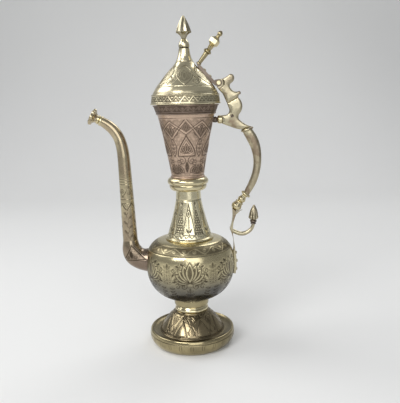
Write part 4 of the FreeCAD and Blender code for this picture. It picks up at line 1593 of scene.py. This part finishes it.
@dataclass
class Neck:
    """The flaring neck, its double ring and the tall cup with the mouth band."""

    base_radius: float = 24.6
    base_height: float = 125.0
    waist_radius: float = 14.0
    waist_height: float = 165.0
    top_radius: float = 13.4
    top_height: float = 176.5
    neck_curve: float = 290.0
    base_wall: float = 2.2
    thin_wall: float = 1.6
    cup_foot_radius: float = 17.8
    cup_foot_height: float = 190.4
    cup_top_radius: float = 30.8
    cup_top_height: float = 258.0
    cup_curve: float = 740.0
    cup_floor: float = 2.6
    mouth_height: float = 268.0
    mouth_radius: float = 35.6
    mouth_bore: float = 33.0
    # Heights of the painted shade from the lid over the mouth band: full below the first, gone
    # above the second.
    darkened: Range = (252.0, 280.0)
    panels: int = 6
    straps: int = 5

    def neck_pattern(self, wall: Wall) -> tuple[Array, Array]:
        """Smooth lancets with a budding stem, dark pearled panels between and scallops below.

        Args:
            wall: The outer face of the neck.

        Returns:
            The cut mask and the swell.
        """
        x, gap = wall.cell(self.panels), wall.cell(self.panels, turn=0.5)
        half = math.pi * wall.radius / self.panels
        y = wall.along - 4.4
        lancet = arch(x, y, half * 0.58, height=34.0, power=1.8)
        panel = np.maximum(arch(gap, y - 0.6, half * 0.36, height=31.0, power=2.2), 0.7 - y)
        rise, pitch = 2.7, 2.5
        row = np.floor(y / rise)
        place = (gap + pitch / 2 * (row % 2) + pitch / 2) % pitch - pitch / 2
        pearl = np.hypot(place, y - rise * (row + 0.5)) - 0.72
        filigree = 0.92 * within(panel) * within(-pearl)
        stem = join(
            stroke(x, width=0.8) * within(np.abs(y - 9.5) - 9.5),
            within(leaf(np.abs(x), y, (1.9, 5.0), length=5.6, width=1.9, lean=26)),
        )
        bud = leaf(x, y, (0.0, 23.5), length=8.4, width=4.2, lean=0)
        tips = within(leaf(gap, y, (0.0, 34.4), length=5.0, width=2.2, lean=0))
        rim = wall.along - 0.8
        scallop = stroke(np.hypot(wall.cell(self.panels * 4), rim) - 2.5, width=0.7) * within(-rim)
        frames = join(stroke(lancet, width=0.8), stroke(panel, width=0.6))
        lines = join(frames, stem, stroke(bud, width=0.8), within(bud + 1.3), tips)
        cut = join(lines, filigree, scallop, wall.rings([41.6, 42.8], width=0.6))
        return cut, 0.3 * within(lancet, soft=0.8)

    def cup_pattern(self, wall: Wall) -> tuple[Array, Array]:
        """Straps that cross in double lines, a bell-shaped palmette below and scrolls at the foot.

        Args:
            wall: The outer face of the cup.

        Returns:
            The cut mask and the swell.
        """
        x, gap = wall.cell(self.straps), wall.cell(self.straps, turn=0.5)
        side, half = np.abs(x), math.pi * wall.radius / self.straps
        y = wall.along - 4.0
        ridge = (y - 60.0 + 20.0 * side / half) * 0.68
        trough = (y - 46.0 - 12.0 * side / half) * 0.82
        clear = within(1.8 - np.abs(ridge)) * within(1.8 - np.abs(trough))
        band = within(39.0 - y) * within(y - 61.0)
        straps = join(*[stroke(np.abs(line) - 1.25, width=0.8) for line in (ridge, trough)]) * band
        blooms = join(
            lotus(x, y - 48.6, height=8.6, pairs=2, spread=60.0),
            lotus(gap, y - 43.0, height=11.5, pairs=2, spread=64.0),
        ) * clear
        bell = onion(x, y - 21.5, half * 0.66, height=23.0)
        palmette = join(
            stroke(bell, width=1.2),
            stroke(bell + 2.0, width=0.5),
            lotus(x, y - 24.6, height=10.5, pairs=2, spread=62.0) * within(bell + 2.2),
        )
        blade = leaf(gap, y, (0.0, 30.5), length=19.0, width=7.4, lean=0)
        veins = spray(gap, y - 24.0, height=12.0, width=4.4, pairs=3) * within(blade + 0.9)
        blades = join(stroke(blade, width=0.9), veins)
        scrolls = join(
            volute(side, y, (5.2, 16.4), size=4.4, turns=1.6, start=100.0),
            volute(np.abs(gap), y, (4.2, 15.0), size=3.4, turns=1.5, start=230.0),
            within(leaf(x, y, (0.0, 9.5), length=13.0, width=4.0, lean=0)),
            stroke(leaf(side, y, (6.4, 7.0), length=10.0, width=4.4, lean=38), width=0.9),
            within(leaf(side, y, (6.4, 7.0), length=6.6, width=2.0, lean=38)),
            lotus(gap, y - 2.0, height=9.5, pairs=2, spread=60.0),
        )
        above = within(0.6 - y)
        free = above * within(y - 61.0) * within(-bell) * within(-blade) * clear
        ground = 0.4 * tendrils(x, y, size=8.2, width=0.7) * free
        rings = wall.rings([3.6, 66.0], width=0.6)
        marks = join(straps, blooms, ground, palmette, blades, scrolls * above, rings)
        return marks, 0.25 * within(bell, soft=0.8)

    def mouth_pattern(self, wall: Wall) -> Array:
        """A bright running scroll on a dark band, with the scroll dimmed as painted shade from the
        lid.

        Args:
            wall: The outer face of the mouth band.

        Returns:
            The cut mask.
        """
        middle = 6.6
        scroll = wall.vine(middle=middle, reach=1.9, count=18, width=0.85)
        ground = within(np.abs(wall.along - middle) - 3.1)
        # The dark ground is engraved; the scroll keeps half of its darkness as painted shade from
        # the lid.
        return join(0.95 * ground * (1 - 0.5 * scroll), wall.rings([2.4, 10.4], width=0.8))

    def build(self, shop: Workshop) -> None:
        """Make the neck, the cup and the mouth band and dress the ring between them.

        Args:
            shop: The frame and the materials.
        """
        thin = self.thin_wall
        bore = self.top_radius - thin
        neck = turned_shell(
            "neck_engraved",
            [
                (self.base_radius, self.base_height, -self.neck_curve),
                (self.waist_radius, self.waist_height),
                (self.top_radius, self.top_height),
            ],
            [
                (self.top_radius - thin, self.top_height),
                (self.waist_radius - thin, self.waist_height, self.neck_curve),
                (self.base_radius - self.base_wall, self.base_height),
            ],
            self.neck_pattern,
            columns=480,
            step=0.36,
        )
        shop.place(neck, Slot.NECK, Rides.POT, "lower_neck")
        shop.dress(Slot.POLISHED, "neck_ring")
        foot, top = self.cup_foot_height, self.cup_top_height
        cup = turned_shell(
            "cup_engraved",
            [
                (self.cup_foot_radius + 0.9, foot, 1.1),
                (self.cup_foot_radius, foot + 1.7, -self.cup_curve),
                (self.cup_top_radius, top),
            ],
            [
                (self.cup_top_radius - thin, top, self.cup_curve),
                (self.cup_foot_radius - thin, foot + self.cup_floor),
                (bore, foot + self.cup_floor),
                (bore, foot),
            ],
            self.cup_pattern,
            columns=480,
            step=0.4,
            inner_step=6.0,
        )
        shop.place(cup, Slot.CUP, Rides.POT, "upper_cup")
        band = turned_shell(
            "mouth_band_engraved",
            [
                (self.cup_top_radius + 0.6, top, 1.2),
                (self.cup_top_radius + 1.5, top + 1.8),
                (self.mouth_radius - 0.9, self.mouth_height - 1.6, 1.2),
                (self.mouth_radius, self.mouth_height),
            ],
            [(self.mouth_bore, self.mouth_height), (self.cup_top_radius - thin, top)],
            self.mouth_pattern,
            columns=520,
            step=0.3,
            dull=self.darkened,
        )
        shop.place(band, Slot.CUP, Rides.POT, "mouth_band")


@dataclass
class Lid:
    """The bell lid with its band, spire and finial, and the strap with the thumb lever."""

    floor: float = 268.6
    radius: float = 37.4
    band_height: float = 10.4
    shoulder_radius: float = 35.3
    thin_wall: float = 1.6
    dome_wall: float = 2.1
    sleeve_bore: float = 28.4
    low_radius: float = 28.2
    low_height: float = 290.5
    high_radius: float = 14.5
    high_height: float = 306.2
    top_radius: float = 7.0
    top_height: float = 318.0
    top_wall: float = 4.0
    pin_bore: float = 0.6
    core: float = 0.4
    spire_height: float = 336.0
    total_height: float = 359.7
    bud_radius: float = 8.8
    bud_faces: int = 8
    groove: float = 8.2
    medallions: int = 6

    def dome_pattern(self, wall: Wall) -> tuple[Array, Array]:
        """Pointed ovals lightly filled with leaves, a leaf scroll between and rings at the ends.

        Args:
            wall: The outer face of the dome.

        Returns:
            The cut mask and the swell.
        """
        x, gap = wall.cell(self.medallions), wall.cell(self.medallions, turn=0.5)
        y = wall.along - 24.0
        shape = oval(x, y, half_width=8.6, half_height=13.5)
        frame = join(stroke(shape, width=0.8), 0.7 * stroke(shape + 1.7, width=0.5))
        fill = 0.55 * lotus(x, y + 8.0, height=14.0, pairs=2, spread=34.0) * within(shape + 2.0)
        blade = leaf(gap, y, (1.0, -7.5), length=13.0, width=4.4, lean=38)
        scroll = join(
            stroke(blade, width=0.7),
            within(blade + 1.2),
            volute(gap, y, (-3.6, -9.4), size=2.8, turns=1.4, start=30.0),
            volute(-gap, y, (-4.8, -3.2), size=2.4, turns=1.4, start=60.0),
            within(leaf(gap, y, (-1.6, -2.6), length=4.6, width=1.8, lean=-30)),
        )
        rings = wall.rings([1.0, 2.4, 9.0, 42.2, 43.4], width=0.5)
        cut = join(0.75 * frame, fill, 0.8 * scroll, 0.8 * rings)
        return cut, 0.3 * within(shape, soft=1.0)

    def band_pattern(self, wall: Wall) -> Array:
        """A bright zigzag with a lozenge in each tooth on a dark band between lines.

        Args:
            wall: The outer face of the band.

        Returns:
            The cut mask.
        """
        middle = 6.0
        ground = within(np.abs(wall.along - middle) - 3.0)
        line = wall.zigzag(middle=middle, reach=2.7, count=25, width=1.0)
        return join(0.8 * ground * (1 - 0.9 * line), wall.rings([1.6, 10.4], width=0.55))

    def spire_pattern(self, wall: Wall) -> Array:
        """A dark line in the groove of the spire."""
        place = wall.height - self.top_height - self.groove - 0.6
        return within(np.abs(place) - 0.6) + 0 * wall.phi

    def spire(self) -> bpy.types.Object:
        """The spire with its groove and the bulb above it.

        Returns:
            The solid piece.
        """
        low, high = self.top_height, self.spire_height
        groove = low + self.groove
        outline = [
            (self.core, low),
            (self.top_radius, low, -40.0),
            (5.7, groove),
            (4.9, groove + 0.5),
            (5.7, groove + 1.3, 9.0),
            (3.4, high - 1.3),
            (2.6, high),
            (self.core, high),
        ]
        return turned_shell(
            "lid_spire_grooved", outline, [], self.spire_pattern, columns=96, step=0.3, depth=0.05
        )

    def finial(self) -> bpy.types.Object:
        """The pointed bud with its hollow faces.

        Returns:
            The solid piece.
        """
        low, high = self.spire_height, self.total_height
        outline = [
            (self.core, low),
            (2.6, low, -9.5),
            (self.bud_radius, low + 6.4),
            (self.bud_radius - 0.3, low + 7.4, 62.0),
            (0.8, high - 0.4),
            (0.3, high),
        ]
        dull = (low - 22.0, high + 25.0)
        return turned_shell(
            "finial_bud_faceted",
            outline,
            [],
            fluted(count=self.bud_faces, share=0.13),
            columns=128,
            step=0.4,
            dull=dull,
        )

    def build(self, shop: Workshop) -> None:
        """Make the band, the dome, the spire and the finial and dress the rest of the lid.

        Args:
            shop: The frame and the materials.
        """
        thin = self.thin_wall
        top = self.floor + self.band_height
        bore = self.shoulder_radius - thin
        band = turned_shell(
            "lid_band_engraved",
            [
                (self.radius, self.floor, 0.9),
                (self.radius - 0.3, self.floor + 1.6),
                (self.radius - 1.3, top - 1.7, 0.9),
                (self.radius - 1.5, top),
            ],
            [
                (bore, top),
                (bore - 0.6, self.floor + thin),
                (self.sleeve_bore, self.floor + thin),
                (self.sleeve_bore, self.floor),
            ],
            self.band_pattern,
            columns=560,
            step=0.28,
        )
        shop.place(band, Slot.LID, Rides.LID, "lid_band")
        dome = turned_shell(
            "lid_dome_engraved",
            [
                (self.shoulder_radius, top, 44.0),
                (self.low_radius, self.low_height),
                (self.high_radius, self.high_height, -27.0),
                (self.top_radius, self.top_height),
                (self.pin_bore, self.top_height),
            ],
            [
                (self.pin_bore, self.top_height - self.top_wall),
                (self.top_radius - 2.6, self.top_height - self.top_wall, 25.0),
                (self.high_radius - self.dome_wall, self.high_height),
                (self.low_radius - self.dome_wall, self.low_height, -42.0),
                (bore, top),
            ],
            self.dome_pattern,
            columns=480,
            step=0.38,
        )
        shop.place(dome, Slot.LID, Rides.LID, "lid_dome")
        shop.place(self.spire(), Slot.LID, Rides.LID, "lid_spire")
        shop.place(self.finial(), Slot.POLISHED, Rides.LID, "finial_bud")
        shop.dress(Slot.LID, "lid_sleeve")
        shop.dress(Slot.CAST, "strap_rivet_1", "strap_rivet_2")
        # The brass strap takes the dark pin finish as painted shade.
        shop.dress(Slot.RIVETS_AND_SHADE, "lid_strap")
        shop.dress(Slot.FOOT, "thumb_rod", "thumb_tip")
        shop.dress(Slot.POLISHED, "thumb_knob")


@dataclass
class Handle:
    """The cast handle with its hinge bracket, arm, grip, tail and scroll."""

    half: float = 4.5
    tongue: float = 2.0
    cheek_lap: float = 0.8
    wear_rounds: int = 12
    rim: float = 4.6
    edge_share: float = 0.4
    pivot: Spot = (35.5, 290.0)
    knuckle: float = 4.0
    recess: float = 6.0
    joint_left: Spot = (44.2, 268.4)
    joint_right: Spot = (56.0, 274.5)
    arm_half: float = 5.3
    collar: Seat = Seat(across=64.95, up=241.7, lean=162.7)
    collar_height: float = 3.2
    grip_foot: Seat = Seat(across=64.2, up=170.6, lean=218.3)
    knop_length: float = 22.8
    belly_middle: Spot = (-25.9, 93.0)
    belly_curve: float = 75.0
    tail_rise: float = 2.8
    tail_half: float = 2.9
    tail_angles: Range = (-10.0, 9.2)
    scroll_end: Seat = Seat(across=71.2, up=135.4, lean=3.0)
    ring_height: float = 4.4
    bud_lobes: int = 8

    def bracket(self) -> bpy.types.Object:
        """The hinge bracket: a thin tongue round the pin between two thicker cheeks.

        Returns:
            The softened casting.
        """
        x, z = self.pivot
        outline = closed_outline([
            self.joint_left,
            self.joint_right,
            (56.5, 275.3, -1.6),
            (58.4, 277.4, 2.1),
            (57.0, 281.0, -6.5),
            (48.6, 283.6, -3.6),
            (48.9, 289.5, 5.6),
            (51.9, 296.4, 3.4),
            (46.6, 298.2, -16.0),
            (x + 1.2, z + self.knuckle - 0.2, self.knuckle),
            (x - 2.0, z - self.knuckle + 0.55, 30.0),
            (39.8, 278.7),
        ])
        cheek = notched(outline, self.pivot, self.recess)
        inside = self.tongue - self.cheek_lap
        whole = merged("hinge_bracket_cast", [
            plate("tongue", outline, -self.tongue, self.tongue),
            plate("near_cheek", cheek, -self.half, -inside),
            plate("far_cheek", cheek, inside, self.half),
        ])
        worn = soften(whole, self.wear_rounds)
        return crowned(worn, outline, self.tongue, self.rim, self.edge_share)

    def arm(self) -> bpy.types.Object:
        """The arm between the bracket, the cup and the grip.

        Returns:
            The softened casting.
        """
        outline = closed_outline([
            (38.2, 247.2),
            (48.3, 243.3, 40.0),
            self.collar.edge(self.arm_half),
            (*self.collar.edge(-self.arm_half), -30.0),
            (56.4, 251.6, -6.0),
            (57.2, 257.0, 12.0),
            self.joint_right,
            self.joint_left,
            (46.4, 262.4, -5.0),
            (44.0, 256.4),
            (38.2, 255.8),
        ])
        whole = plate("handle_arm_cast", outline, -self.half, self.half)
        worn = soften(whole, self.wear_rounds)
        return crowned(worn, outline, self.tongue, self.rim, self.edge_share)

    def grip(self) -> bpy.types.Object:
        """The curved grip, widest below its collar.

        Returns:
            The solid bar.
        """
        top = self.collar.further(self.collar_height)
        stations = [
            (top.across, top.up, top.lean, 5.4, 5.0),
            (70.6, 230.4, 153, 5.7, 5.0),
            (74.4, 221.0, 167, 5.2, 5.0),
            (76.2, 209.0, 177, 4.4, 5.0),
            (75.2, 196.0, 190, 4.0, 5.0),
            (71.0, 183.0, 204, 3.9, 4.8),
            (self.grip_foot.across, self.grip_foot.up, self.grip_foot.lean, 3.3, 3.6),
        ]
        return swept_bar("handle_grip_cast", stations, power=2.9, columns=48, step=0.8)

    def tail(self) -> bpy.types.Object:
        """The strap from the knop down the side of the belly.

        Returns:
            The softened casting.
        """
        middle, inner = self.belly_middle, self.belly_curve
        outer = inner + self.tail_rise
        low, high = map(math.radians, self.tail_angles)
        top = self.grip_foot.further(self.knop_length)
        outline = closed_outline([
            polar(middle, low, inner),
            (*polar(middle, low, outer), outer),
            polar(middle, high, outer),
            (48.4, 123.8),
            (48.4, 132.2, -40.0),
            (51.6, 146.0),
            top.edge(-self.tail_half),
            (*top.edge(self.tail_half), -42.0),
            (44.9, 131.0, -40.0),
            (*polar(middle, high, inner), -inner),
        ])
        return soften(plate("handle_tail_cast", outline, -self.half, self.half), rounds=4)

    def bud(self) -> bpy.types.Object:
        """The fluted bud at the end of the scroll.

        Returns:
            The solid piece.
        """
        return turned_shell(
            "scroll_bud_fluted",
            [(0.4, 0.0), (2.8, 0.0), (5.2, 2.2, 3.2), (5.1, 5.0, 24.0), (0.6, 17.2), (0.2, 17.4)],
            [],
            creased(count=self.bud_lobes, width=0.36),
            columns=96,
            step=0.4,
            depth=0.1,
            seat=self.scroll_end.further(self.ring_height),
            lobes=(self.bud_lobes, 0.2),
        )

    def build(self, shop: Workshop) -> None:
        """Make the cast pieces with soft edges and dress the turned ones.

        Args:
            shop: The frame and the materials.
        """
        shop.place(self.bracket(), Slot.CAST, Rides.POT, "hinge_bracket")
        shop.place(self.arm(), Slot.CAST, Rides.POT, "handle_arm")
        shop.place(self.grip(), Slot.CAST, Rides.POT, "handle_grip")
        shop.place(self.tail(), Slot.CAST, Rides.POT, "handle_tail")
        shop.place(self.bud(), Slot.CAST, Rides.POT, "scroll_bud")
        shop.dress(Slot.CAST, "grip_collar", "knop_leaf", "scroll_arm")
        shop.dress(Slot.CAST, "tail_rivet_1", "tail_rivet_2", "tail_rivet_3")
        shop.dress(Slot.RIVETS_AND_SHADE, "arm_pin", "arm_boss", "scroll_ring")
        shop.dress(Slot.POLISHED, "hinge_pin", "arm_ferrule", "grip_baluster", "leaf_knop")


@dataclass
class Spout:
    """The slim spout: elbow, tube, collar rings and lobed mouth."""

    root_height: float = 97.0
    seam: Corner = (-66.4, 121.0, -3.0, 8.2)
    top: Corner = (-68.9, 206.0, -2.0, 6.8)
    end: Seat = Seat(across=-90.6, up=252.5, lean=-62.0)
    end_radius: float = 4.9
    ring_height: float = 5.4
    bore_share: float = 0.72
    browned: Range = (80.0, 185.0)
    lip: float = 9.2
    mouth_bore: float = 3.1
    vines: int = 4
    lobes: int = 8

    def elbow_pattern(self, wall: Wall) -> tuple[Array, Array]:
        """A three-sided panel on each side of the bend, punched with dots round a curled leaf.

        The swell makes the outside of the bend a little square.

        Args:
            wall: The outer face of the elbow.

        Returns:
            The cut mask and the swell.
        """
        x, z = wall.across, wall.height
        panel = three_sided(x, z, [(-72.6, 99.4), (-49.0, 100.6), (-64.4, 116.0)])
        stem = join(
            within(leaf(x, z, (-65.0, 106.0), length=9.0, width=3.6, lean=-12)),
            volute(x, z, (-59.8, 103.4), size=2.6, turns=1.4, start=60.0),
            volute(-x, z, (68.8, 102.4), size=1.9, turns=1.3, start=60.0),
        )
        pitch = 1.8
        grid = [(place + pitch / 2) % pitch - pitch / 2 for place in (x, z)]
        dots = within(np.hypot(*grid) - 0.5) * (1 - stem)
        marks = join(stroke(panel, width=1.0), join(stem, 0.7 * dots) * within(panel + 0.9))
        bend = np.exp(-((wall.along - 20.0) / 6.5) ** 2)
        side = np.sin(wall.phi)
        return marks, bend * 1.1 * np.clip(-side, 0, 1) ** 3

    def tube_pattern(self, wall: Wall) -> Array:
        """Upright leafy vines, a row of hanging points and a band of scrolls, then plain metal.

        Args:
            wall: The outer face of the tube.

        Returns:
            The cut mask.
        """
        x, y, pitch = wall.cell(self.vines), wall.along, 10.5
        stem = stroke(x - 1.2 * np.sin(TAU * y / pitch), width=0.7)
        leaves = []
        for hand, shift in ((1.0, 0.0), (-1.0, pitch / 2)):
            place = (y + shift) % pitch - pitch / 2
            leaves.append(within(leaf(hand * x, place, (2.9, 0.4), length=5.6, width=2.5, lean=42)))
        vine = join(stem, *leaves) * within(np.abs(y - 17.5) - 15.5)
        half = math.pi * wall.radius / self.vines
        points = (y - 34.5 - 8.0 * np.abs(x) / half) * 0.6
        hanging = join(stroke(points, width=1.2), stroke(points - 2.2, width=0.5))
        hanging = hanging * within(np.abs(y - 38.5) - 4.4)
        middle = 55.5
        scroll = join(
            wall.vine(middle=middle, reach=3.8, count=3, width=0.75),
            stroke(wall.cell(6, turn=0.25), width=0.5),
        )
        scroll = scroll * within(np.abs(y - middle) - 6.4)
        rings = wall.rings([43.0, 47.2, 63.8, 66.8, 69.4], width=0.65)
        return join(0.62 * vine, 0.9 * hanging, 0.7 * scroll, 0.7 * rings)

    def elbow(self) -> bpy.types.Object:
        """The bend from the belly up into the tube.

        Returns:
            The hollow piece.
        """
        stations = [
            (-46.8, self.root_height, -90, 13.2),
            (-50.6, self.root_height + 0.3, -87, 12.5),
            (-55.6, self.root_height + 1.7, -77, 12.0),
            (-61.8, self.root_height + 6.6, -50, 11.4),
            (-65.6, self.root_height + 14.6, -16, 9.9),
            self.seam,
        ]
        return swept_tube(
            "spout_elbow_engraved",
            stations,
            share=self.bore_share,
            pattern=self.elbow_pattern,
            columns=200,
            step=0.35,
            dull=self.browned,
        )

    def tube(self) -> bpy.types.Object:
        """The tube up to the collar rings.

        Returns:
            The hollow piece.
        """
        low, high = np.array(self.seam), np.array(self.top)
        straight = [tuple(low + (high - low) * share) for share in np.linspace(0, 1, 8)]
        stations = [
            *straight,
            (-69.4, 216.0, -5, 6.6),
            (-70.8, 226.0, -13, 6.35),
            (-73.8, 235.4, -27, 6.1),
            (-78.6, 243.0, -41, 5.9),
            (-84.4, 248.5, -52, 5.6),
            (self.end.across, self.end.up, self.end.lean, self.end_radius),
        ]
        return swept_tube(
            "spout_tube_engraved",
            stations,
            share=self.bore_share,
            pattern=self.tube_pattern,
            columns=140,
            step=0.4,
            dull=self.browned,
        )

    def mouth(self) -> bpy.types.Object:
        """The trumpet mouth, lobed like a lotus.

        Returns:
            The hollow piece.
        """
        lip = self.lip
        return turned_shell(
            "spout_mouth_lobed",
            [(4.2, 0.0, -4.6), (lip - 1.2, 4.0, 1.9), (lip, 6.0, 1.4), (lip - 0.9, 7.6)],
            [(lip - 1.4, 7.5, 6.0), (self.mouth_bore, 2.0), (self.mouth_bore, 0.0)],
            creased(count=self.lobes, width=0.2),
            columns=128,
            step=0.35,
            depth=0.1,
            seat=self.end.further(self.ring_height),
            lobes=(self.lobes, 0.14),
        )

    def build(self, shop: Workshop) -> None:
        """Make the engraved elbow and tube and the mouth, and dress the rings.

        Args:
            shop: The frame and the materials.
        """
        shop.place(self.elbow(), Slot.SPOUT, Rides.POT, "spout_elbow")
        shop.place(self.tube(), Slot.SPOUT, Rides.POT, "spout_tube")
        shop.place(self.mouth(), Slot.SPOUT, Rides.POT, "spout_mouth")
        shop.dress(Slot.POLISHED, "spout_ring")


# The stage


@dataclass(frozen=True)
class Lamp:
    """A square soft lamp with a grid in front of it.

    Attributes:
        name: Name of the lamp.
        spot: Place in metres.
        size: Side of the square in metres.
        power: Power in watts without the grid.
        spread: Full angle of the grid in degrees.
    """

    name: str
    spot: tuple[float, float, float]
    size: float
    power: float
    spread: float

    def hang(self, target: Vector) -> None:
        """Hang the lamp so that it faces a target.

        A grid of half angle h makes the light straight ahead tan h / (tan h - h) times as strong,
        which is taken off its power, so the pot gets what the open lamp would give.

        Args:
            target: Place in metres.
        """
        half = math.radians(self.spread) / 2
        light = bpy.data.lights.new(self.name, "AREA")
        light.size = self.size
        light.spread = 2 * half
        light.energy = self.power * (1 - half / math.tan(half))
        holder = bpy.data.objects.new(self.name, light)
        holder.location = self.spot
        aim = target - Vector(self.spot)
        holder.rotation_euler = aim.to_track_quat("-Z", "Y").to_euler()
        bpy.context.scene.collection.objects.link(holder)


LAMPS = (
    Lamp("key", (-0.7, -1.15, 1.15), size=0.8, power=13.5, spread=130.0),
    Lamp("window", (-1.25, 0.3, 1.25), size=1.1, power=12.5, spread=130.0),
    Lamp("fill", (0.25, -1.6, 0.75), size=1.2, power=10.0, spread=105.0),
    Lamp("back", (0.6, 0.9, 1.3), size=0.8, power=5.5, spread=150.0),
)


@dataclass
class Studio:
    """The photograph's camera, a pale floor and soft light.

    Attributes:
        focal: Focal length in pixels.
        picture: Height of the photograph in pixels.
        sensor: Height and width of the camera's sensor.
        distance: Horizontal distance of the camera from the pot's axis.
        height: Height of the camera above the floor.
        sideways: Place of the camera along the pot's X axis.
        pitch: Tilt down in degrees.
        roll: Turn about the line of sight in degrees.
        target: Height that the lamps face.
    """

    focal: float = 545.0
    picture: float = 403.0
    sensor: float = 36.0
    distance: float = 592.5
    height: float = 272.6
    sideways: float = 12.6
    pitch: float = 10.55
    roll: float = -1.5
    target: float = 180.0

    def camera(self) -> None:
        """Stand the camera where the photograph was taken."""
        lens = bpy.data.cameras.new("photo_camera")
        lens.sensor_fit = "VERTICAL"
        lens.sensor_height = self.sensor
        lens.sensor_width = self.sensor
        lens.lens = self.focal * self.sensor / self.picture
        lens.clip_start = 0.01
        eye = bpy.data.objects.new("photo_camera", lens)
        look = Matrix.Rotation(math.radians(90.0 - self.pitch), 4, "X")
        turn = Matrix.Rotation(math.radians(self.roll), 4, "Z")
        spot = Vector((self.sideways, -self.distance, self.height)) * MM
        eye.matrix_world = Matrix.Translation(spot) @ look @ turn
        bpy.context.scene.collection.objects.link(eye)
        bpy.context.scene.camera = eye

    def floor(self) -> None:
        """Lay a pale floor that curves up into a backdrop.

        The sheet is flat as far as the bend behind the pot, follows a quarter circle and goes
        up. Its sizes are in metres.
        """
        front, flat, curve, top, half = -9.0, 0.9, 0.6, 3.0, 7.0
        bend = np.linspace(0, math.pi / 2, 16)[1:]
        y = np.concatenate([[front, flat], flat + curve * np.sin(bend), [flat + curve]])
        z = np.concatenate([[0.0, 0.0], curve * (1 - np.cos(bend)), [top]])
        x = np.array([-half, half])
        points = np.stack(np.broadcast_arrays(x[None, :], y[:, None], z[:, None]), axis=-1)
        mesh = bpy.data.meshes.new("pale_floor")
        index = np.arange(len(y) * 2).reshape(-1, 2)
        quads = np.stack([index[:-1, 0], index[:-1, 1], index[1:, 1], index[1:, 0]], axis=1)
        mesh.from_pydata(points.reshape(-1, 3).tolist(), [], quads.tolist())
        mesh.shade_smooth()
        paper = bpy.data.materials.new("pale_paper")
        paper.use_nodes = True
        wire = Wiring(paper.node_tree)
        shader = paper.node_tree.nodes["Principled BSDF"]
        place = wire.add("ShaderNodeTexCoord").outputs["Object"]
        tone = wire.mix(
            wire.noise(place, scale=3.0), (0.80, 0.80, 0.79, 1.0), (0.84, 0.84, 0.83, 1.0)
        )
        paper.node_tree.links.new(tone, shader.inputs["Base Color"])
        shader.inputs["Roughness"].default_value = 0.9
        mesh.materials.append(paper)
        sheet = bpy.data.objects.new("pale_floor", mesh)
        bpy.context.scene.collection.objects.link(sheet)

    def build(self) -> None:
        """Set the view, the camera, the floor, the lamps and the world."""
        scene = bpy.context.scene
        scene.view_settings.view_transform = "Standard"
        self.camera()
        self.floor()
        for lamp in LAMPS:
            lamp.hang(Vector((0.0, 0.0, self.target * MM)))
        world = bpy.data.worlds.new("soft_room")
        world.use_nodes = True
        scene.world = world
        shade = world.node_tree.nodes["Background"]
        shade.inputs["Color"].default_value = (0.92, 0.94, 0.97, 1.0)
        shade.inputs["Strength"].default_value = 0.35


def main() -> None:
    """Load the frame, build every sub-assembly in order and set up the studio."""
    logging.basicConfig(level=logging.INFO, format="%(name)s %(message)s")
    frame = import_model()
    group = aged_metal_group()
    shop = Workshop(frame, {finish.slot: finish.material(group) for finish in FINISHES})
    for assembly in (Foot(), Belly(), Neck(), Lid(), Handle(), Spout()):
        assembly.build(shop)
    Studio().build()


if __name__ == "__main__":
    main()
